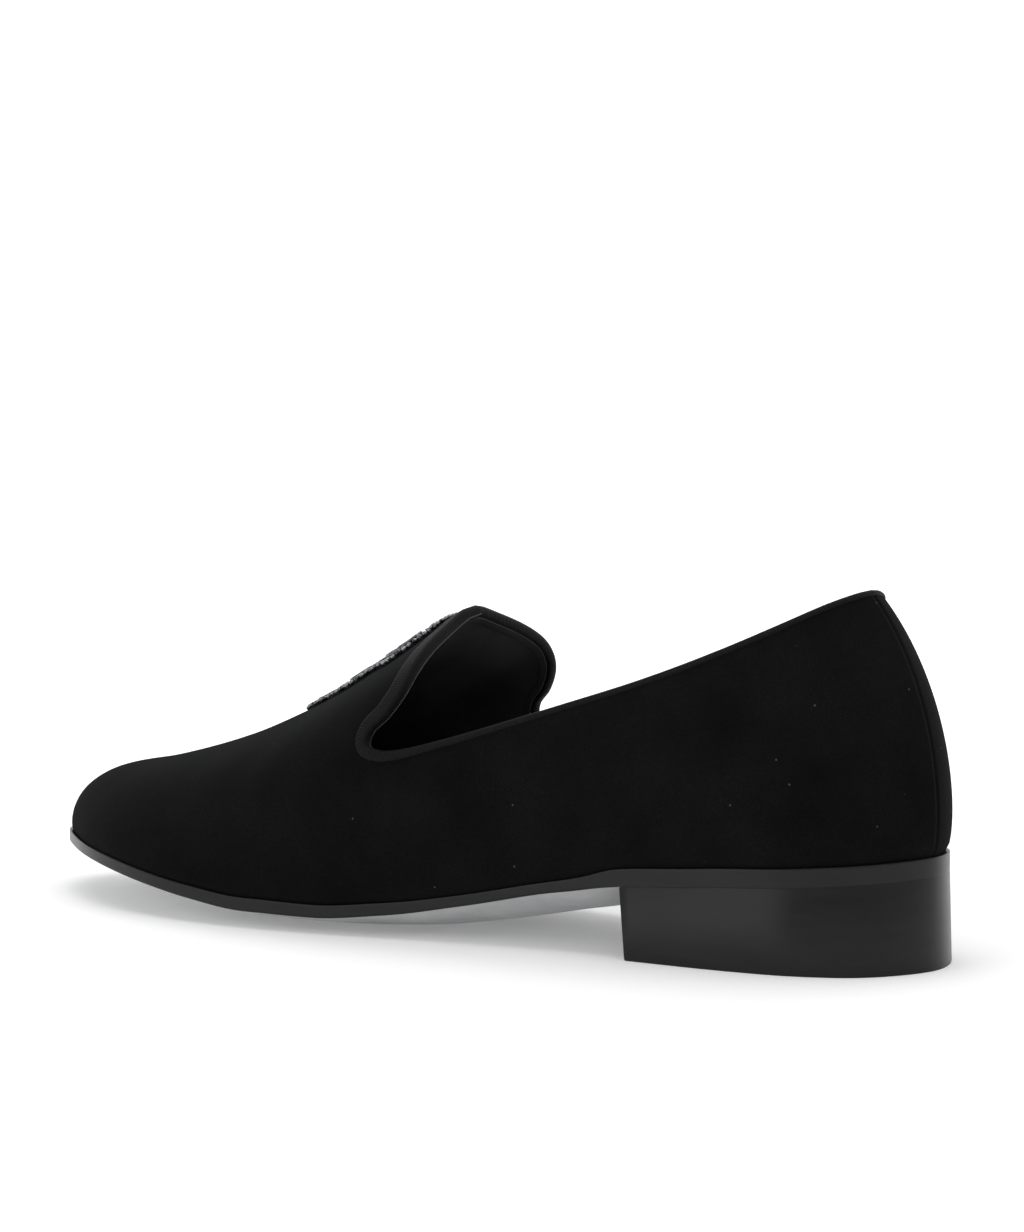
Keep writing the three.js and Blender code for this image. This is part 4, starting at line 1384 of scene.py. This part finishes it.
def binding_rows(last, line, stations):
    """Points of the band on either side, from the tongue's peak to the back seam.

    Each entry of line is a share of the band's width, a distance that is added to it, and how far
    the point stands off the upper's outer face.
    """
    t = np.linspace(0, 1, 2401)
    ridge_rib = last.ribs(np.linspace(0.0, 0.98, 900), -1)["ridge"]
    back = last.surface(np.array([0.0]), np.linspace(0, 1, 400), -1)[0]
    rows = {-1: [], 1: []}
    for share, more, offset in line:
        away = share * last.binding_width(t) + (more or 0.0)
        flat = last.mouth_edge(t, away)
        ridge_z = np.interp(-flat[:, 0], -ridge_rib[:, 0], ridge_rib[:, 2])
        under = flat[:, 1] < ridge_z
        first = max(int(np.argmax(under)), 1)
        back_x = np.interp(flat[:, 1], back[:, 2], back[:, 0])
        out = (flat[:, 0] > back_x) & (t > 0.5)
        end = int(np.argmax(out)) if out.any() else len(t) - 1
        gap_a = ridge_z[first - 1] - flat[first - 1, 1]
        gap_b = ridge_z[first] - flat[first, 1]
        t0 = t[first - 1] + (t[first] - t[first - 1]) * (0 - gap_a) / (gap_b - gap_a)
        over_a = flat[end - 1, 0] - back_x[end - 1]
        over_b = flat[end, 0] - back_x[end]
        t1 = t[end - 1] + (t[end] - t[end - 1]) * (0 - over_a) / (over_b - over_a)
        inside = np.clip(t, t0, t1)
        run = last.mouth_edge(inside)
        length = np.concatenate([[0], np.cumsum(np.linalg.norm(np.diff(run, axis=0), axis=1))])
        even = np.interp(np.linspace(0, length[-1], stations), length, inside)
        even[0], even[-1] = t0, t1
        away = share * last.binding_width(even) + (more or 0.0)
        flat = last.mouth_edge(even, away)
        for sign in (-1, 1):
            point, normal = last.wall_at(flat[:, 0], flat[:, 1], sign)
            for end_row in (0, -1):
                point[end_row, 1] = 0
                normal[end_row, 1] = 0
            normal = unit(normal)
            moved = point + normal * offset
            moved[:, 1] = np.where(moved[:, 1] * sign < 0, 0, moved[:, 1])
            rows[sign].append(moved)
    return {sign: np.stack(rows[sign], axis=1) for sign in (-1, 1)}


def ornament_loop(last, inset=0.0):
    """Lobed outline of the bead-work in X and Y, in from its edge by inset."""
    s = last.s
    rear = s.sole_length / 2 - s.tongue_peak - s.ornament_setback
    x = rear - ORNAMENT_ROWS[:, 0] * s.ornament_length
    y = ORNAMENT_ROWS[:, 1] * s.ornament_width / 2
    side = np.column_stack([x, y])
    other = side[1:-1][::-1] * np.array([1, -1])
    point, heading = spline(np.vstack([side, other]), np.linspace(0, 1, 481), closed=True)
    return point[:-1] - np.column_stack([heading[:-1, 1], -heading[:-1, 0]]) * inset


def ornament_place(last, at, wide):
    """X and Y of a place on the bead-work, from shares of its length and half width."""
    s = last.s
    rear = s.sole_length / 2 - s.tongue_peak - s.ornament_setback
    return np.array([rear - at * s.ornament_length, wide * s.ornament_width / 2])


def inside_loop(points, loop):
    """Which points lie inside a closed loop."""
    inside = np.zeros(len(points), bool)
    for a, b in zip(loop, np.roll(loop, -1, axis=0)):
        crosses = (a[1] > points[:, 1]) != (b[1] > points[:, 1])
        reach = a[0] + (points[:, 1] - a[1]) * (b[0] - a[0]) / ((b[1] - a[1]) or 1e-12)
        inside ^= crosses & (points[:, 0] < reach)
    return inside


def nearest(points, others):
    """Distance from each point to the nearest of the others."""
    if not len(others):
        return np.full(len(points), np.inf)
    return np.min(np.linalg.norm(points[:, None] - others[None], axis=2), axis=1)


class LOAFER_OT_ornament(bpy.types.Operator):
    """Builds the bead-work: a padded ground, stones, scrolls of coiled wire, leaves and sequins"""

    bl_idname = "loafer.ornament"
    bl_label = "Bead-work"

    def execute(self, context):
        last = Last()
        s = sizes()
        self.pad(last)
        stones = np.array([ornament_place(last, at, 0) for at, _ in STONE_ROWS])
        stone_radii = np.array([radius for _, radius in STONE_ROWS]) * MM
        scrolls = []
        for scroll in SCROLLS:
            for side in (-1, 1):
                rows = np.array([ornament_place(last, at, wide * side) for at, wide in scroll])
                scrolls.append(spline(rows, np.linspace(0, 1, 160))[0])
        leaves = np.vstack([self.leaf(last, *leaf, side) for leaf in LEAVES for side in (-1, 1)])
        rim = even_steps(np.vstack([ornament_loop(last, 0.8 * MM), ornament_loop(last, 0.8 * MM)[:1]]),
                         s.bead_pitch)[:-1]
        wire = np.vstack(scrolls)
        leaves = leaves[(nearest(leaves, wire) > 1.25 * MM) & (nearest(leaves, rim) > 1.3 * MM)]
        ground = self.ground(last, 1.9 * MM)
        clear = (nearest(ground, wire) > 1.45 * MM) & (nearest(ground, leaves) > 1.35 * MM)
        clear &= nearest(ground, rim) > 1.35 * MM
        for stone, radius in zip(stones, stone_radii):
            clear &= np.linalg.norm(ground - stone, axis=1) > radius + 0.9 * MM
        ground = ground[clear]

        points_tree = on_points_tree()
        beads = np.vstack([rim, leaves])
        bead_radii = np.concatenate([np.full(len(rim), 0.80), np.full(len(leaves), 0.66)]) * MM
        bead = turned_shape("bead", [
            (0, -0.86), (0.62, -0.62), (1, -0.1), (0.92, 0.4), (0.5, 0.8), (0, 0.9)], 8)
        self.sew(last, "seed_beads", beads, bead_radii, 0.62, bead, 0.10,
                 shiny_material("black_seed_beads", finish().beads, 0.12, 0.6, (0.3, 9.0)), points_tree)
        gem = turned_shape("gem", [(1, -0.35), (1, 0.05), (0.72, 0.45), (0.42, 0.62), (0, 0.62)], 8)
        pale = shiny_material("pale_cut_stones", (0.60, 0.61, 0.64), 0.06, 0.95, (0.5, 1.5))
        self.sew(last, "cut_stones", stones, stone_radii, 0.35, gem, 0.0, pale, points_tree, smooth=False)
        disc = turned_shape("sequin", [
            (0, -0.10), (0.55, -0.06), (1, 0.12), (0.97, 0.20), (0.55, 0.04), (0, 0)], 9)
        self.sew(last, "sequins", ground, np.full(len(ground), 1.12 * MM), 0.30, disc, 0.22,
                 shiny_material("gunmetal_sequins", (0.14, 0.143, 0.15), 0.14, 0.9, (0.15, 5.0)), points_tree)

        lines = []
        for scroll in scrolls:
            point, normal = last.vamp_at(scroll[:, 0], scroll[:, 1])
            lines.append(last.place(point + normal * (self.swell(last, scroll) + 0.60 * MM)[:, None]))
        ring = laid_shape("coil_turn", [(0.72, -0.9), (1, -0.35), (1, 0.35), (0.72, 0.9)], 8)
        coils = grown("wire_scrolls", line_mesh("scroll_lines", lines), along_path_tree(), {
            "Shape": ring, "Pitch": 0.00042, "Scale": 0.00062,
            "Material": shiny_material("coiled_wire", (0.10, 0.10, 0.11), 0.22, 0.95)})
        sharpened(coils, 60)
        dress(coils, "beadwork")
        return {"FINISHED"}

    def swell(self, last, flat):
        """Height of the padded ground over the velvet."""
        loop = ornament_loop(last)
        edge = nearest(flat, loop)
        return np.where(inside_loop(flat, loop), 0.95 * MM * np.clip(edge / (3.5 * MM), 0, 1) ** 0.5, 0)

    def pad(self, last):
        """The padded ground that carries the bead-work."""
        loop = ornament_loop(last)[::2]
        rings = []
        centre_x = loop[:, 0]
        spine = np.column_stack([centre_x, 0 * centre_x])
        for w in (1.0, 0.97, 0.90, 0.78, 0.6, 0.4, 0.2, 0.0):
            rings.append(loop * w + spine * (1 - w))
        flat = np.vstack(rings)
        height = self.swell(last, flat)
        height[:len(loop)] = -0.25 * MM
        point, normal = last.vamp_at(flat[:, 0], flat[:, 1])
        points = point + normal * height[:, None]
        columns = len(loop)
        faces = ring_faces(len(rings), columns)
        points, faces, _ = weld(points, faces)
        felt = velvet_material()
        felt.name = "bead_work_ground"
        piece = make_piece("ornament_ground", last.place(points), faces, [felt])
        check_facing_up(piece)
        dress(piece, "beadwork", "vamp_ornament")

    def leaf(self, last, root, tip, width, side):
        """Places of the beads in a leaf, in rows along it."""
        s = last.s
        a = ornament_place(last, root[0], root[1] * side)
        b = ornament_place(last, tip[0], tip[1] * side)
        along = (b - a) / np.linalg.norm(b - a)
        out = np.array([-along[1], along[0]])
        pitch = s.bead_pitch * 0.86
        steps = int(np.linalg.norm(b - a) / pitch)
        places = []
        for i in range(steps + 1):
            w = i / max(steps, 1)
            half = width * MM / 2 * math.sin(math.pi * min(max(w, 0.06), 0.94)) ** 0.8
            lanes = int(half / pitch)
            for lane in range(-lanes, lanes + 1):
                places.append(a + along * i * pitch + out * lane * pitch)
        return np.array(places)

    def ground(self, last, pitch):
        """Places of the sequins, in offset rows."""
        loop = ornament_loop(last, 1.6 * MM)
        low, high = loop.min(0), loop.max(0)
        rows = []
        count = int((high[0] - low[0]) / (pitch * 0.866)) + 1
        half = int(high[1] / pitch) + 1
        for i in range(count):
            for k in range(-half, half + 1):
                rows.append((low[0] + i * pitch * 0.866, (k + 0.5 * (i % 2)) * pitch))
        rows = np.array(rows)
        return rows[inside_loop(rows, loop)]

    def sew(self, last, name, flat, radii, lift, shape, tilt, material, tree, smooth=True):
        """Sews a shape on at each place, standing on the padded ground."""
        point, normal = last.vamp_at(flat[:, 0], flat[:, 1])
        point = point + normal * (self.swell(last, flat) + lift * radii)[:, None]
        carrier = point_cloud(name, last.place(point), normal, radii)
        piece = grown(name, carrier, tree, {
            "Shape": shape, "Scale": 1.0, "Tilt": tilt, "Seed": finish().seed, "Material": material})
        if not smooth:
            piece.data.polygons.foreach_set("use_smooth", [False] * len(piece.data.polygons))
        dress(piece, "beadwork")


def check_facing_up(obj):
    """Turns a sheet so that its faces point up."""
    if sum(face.normal.z * face.area for face in obj.data.polygons) < 0:
        obj.data.flip_normals()


class LOAFER_OT_stage(bpy.types.Operator):
    """Builds the pale floor, the lights and the camera"""

    bl_idname = "loafer.stage"
    bl_label = "Stage"

    def execute(self, context):
        self.floor()
        self.lights(context)
        self.camera(context)
        return {"FINISHED"}

    def floor(self):
        """A pale floor that curves up into a backdrop far behind the shoe."""
        turned = math.radians(CAMERA_AZIMUTH)
        behind = np.array([-math.sin(turned), math.cos(turned)])
        aside = np.array([behind[1], -behind[0]])
        run = [(-4.0, 0.0), (0.0, 0.0), (2.5, 0.0)]
        run += [(2.5 + 1.5 * math.sin(a), 1.5 - 1.5 * math.cos(a)) for a in np.linspace(0.1, math.pi / 2, 12)]
        run += [(4.0, 6.0)]
        points = []
        for away, high in run:
            for side in (-6.0, -2.0, 2.0, 6.0):
                points.append([*(behind * away + aside * side), high])
        piece = make_piece("floor", np.array(points), grid_faces(len(run), 4), [floor_material()])
        check_facing_up(piece)

    def lights(self, context):
        world = bpy.data.worlds.new("studio")
        world.use_nodes = True
        world.node_tree.nodes["Background"].inputs["Color"].default_value = (1.0, 1.0, 1.0, 1)
        world.node_tree.nodes["Background"].inputs["Strength"].default_value = 0.55
        context.scene.world = world
        context.scene.view_settings.view_transform = "Standard"
        for name, place, size, power in (
            ("overhead", (0.0, 0.1, 1.6), 1.6, 14.0),
            ("toe side", (-0.50, -1.43, 0.45), 1.0, 4.8),
        ):
            data = bpy.data.lights.new(name, "AREA")
            data.shape = "SQUARE"
            data.size = size
            data.energy = power
            lamp = bpy.data.objects.new(name, data)
            lamp.location = place
            lamp.rotation_euler = (-Vector(place) + Vector((0, 0, 0.04))).to_track_quat("-Z", "Y").to_euler()
            context.scene.collection.objects.link(lamp)

    def camera(self, context):
        """Long lens from behind the outer side, a little above the shoe."""
        last = Last()
        azimuth, elevation = math.radians(CAMERA_AZIMUTH), math.radians(CAMERA_ELEVATION)
        back = Vector((
            math.sin(azimuth) * math.cos(elevation), -math.cos(azimuth) * math.cos(elevation),
            math.sin(elevation)))
        target = Vector(last.place(np.array([-0.0035, 0.0, 0.045])))
        data = bpy.data.cameras.new("camera")
        data.sensor_fit = "VERTICAL"
        data.sensor_height = 36.0
        data.lens = 150.63
        data.shift_x = 0.0282
        data.shift_y = 0.1132
        data.clip_end = 30.0
        camera = bpy.data.objects.new("camera", data)
        camera.location = target + back * CAMERA_DISTANCE
        camera.rotation_euler = (-back).to_track_quat("-Z", "Y").to_euler()
        context.scene.collection.objects.link(camera)
        context.scene.camera = camera


class LOAFER_PT_panel(bpy.types.Panel):
    """Lists the shoe's sizes, colours and pieces"""

    bl_idname = "LOAFER_PT_panel"
    bl_label = "Embellished Loafer"
    bl_space_type = "VIEW_3D"
    bl_region_type = "UI"
    bl_category = "Shoe"

    def draw(self, context):
        layout = self.layout
        for group in (context.scene.loafer_sizes, context.scene.loafer_finish):
            box = layout.box()
            for name in group.__annotations__:
                box.prop(group, name)
        for operator in OPERATORS:
            layout.operator(operator.bl_idname)


OPERATORS = (
    LOAFER_OT_sole,
    LOAFER_OT_heel,
    LOAFER_OT_insole,
    LOAFER_OT_upper,
    LOAFER_OT_binding,
    LOAFER_OT_ornament,
    LOAFER_OT_stage,
)
CLASSES = (LoaferSizes, LoaferFinish, *OPERATORS, LOAFER_PT_panel)


def register():
    """Adds the shoe's classes and properties."""
    for item in CLASSES:
        bpy.utils.register_class(item)
    bpy.types.Scene.loafer_sizes = PointerProperty(type=LoaferSizes)
    bpy.types.Scene.loafer_finish = PointerProperty(type=LoaferFinish)


def unregister():
    """Takes them away again."""
    del bpy.types.Scene.loafer_finish
    del bpy.types.Scene.loafer_sizes
    for item in reversed(CLASSES):
        bpy.utils.unregister_class(item)


def main():
    """Builds every piece in order."""
    register()
    bpy.ops.loafer.stage()
    bpy.ops.loafer.sole()
    bpy.ops.loafer.heel()
    bpy.ops.loafer.insole()
    bpy.ops.loafer.upper()
    bpy.ops.loafer.binding()
    bpy.ops.loafer.ornament()


if __name__ == "__main__":
    main()
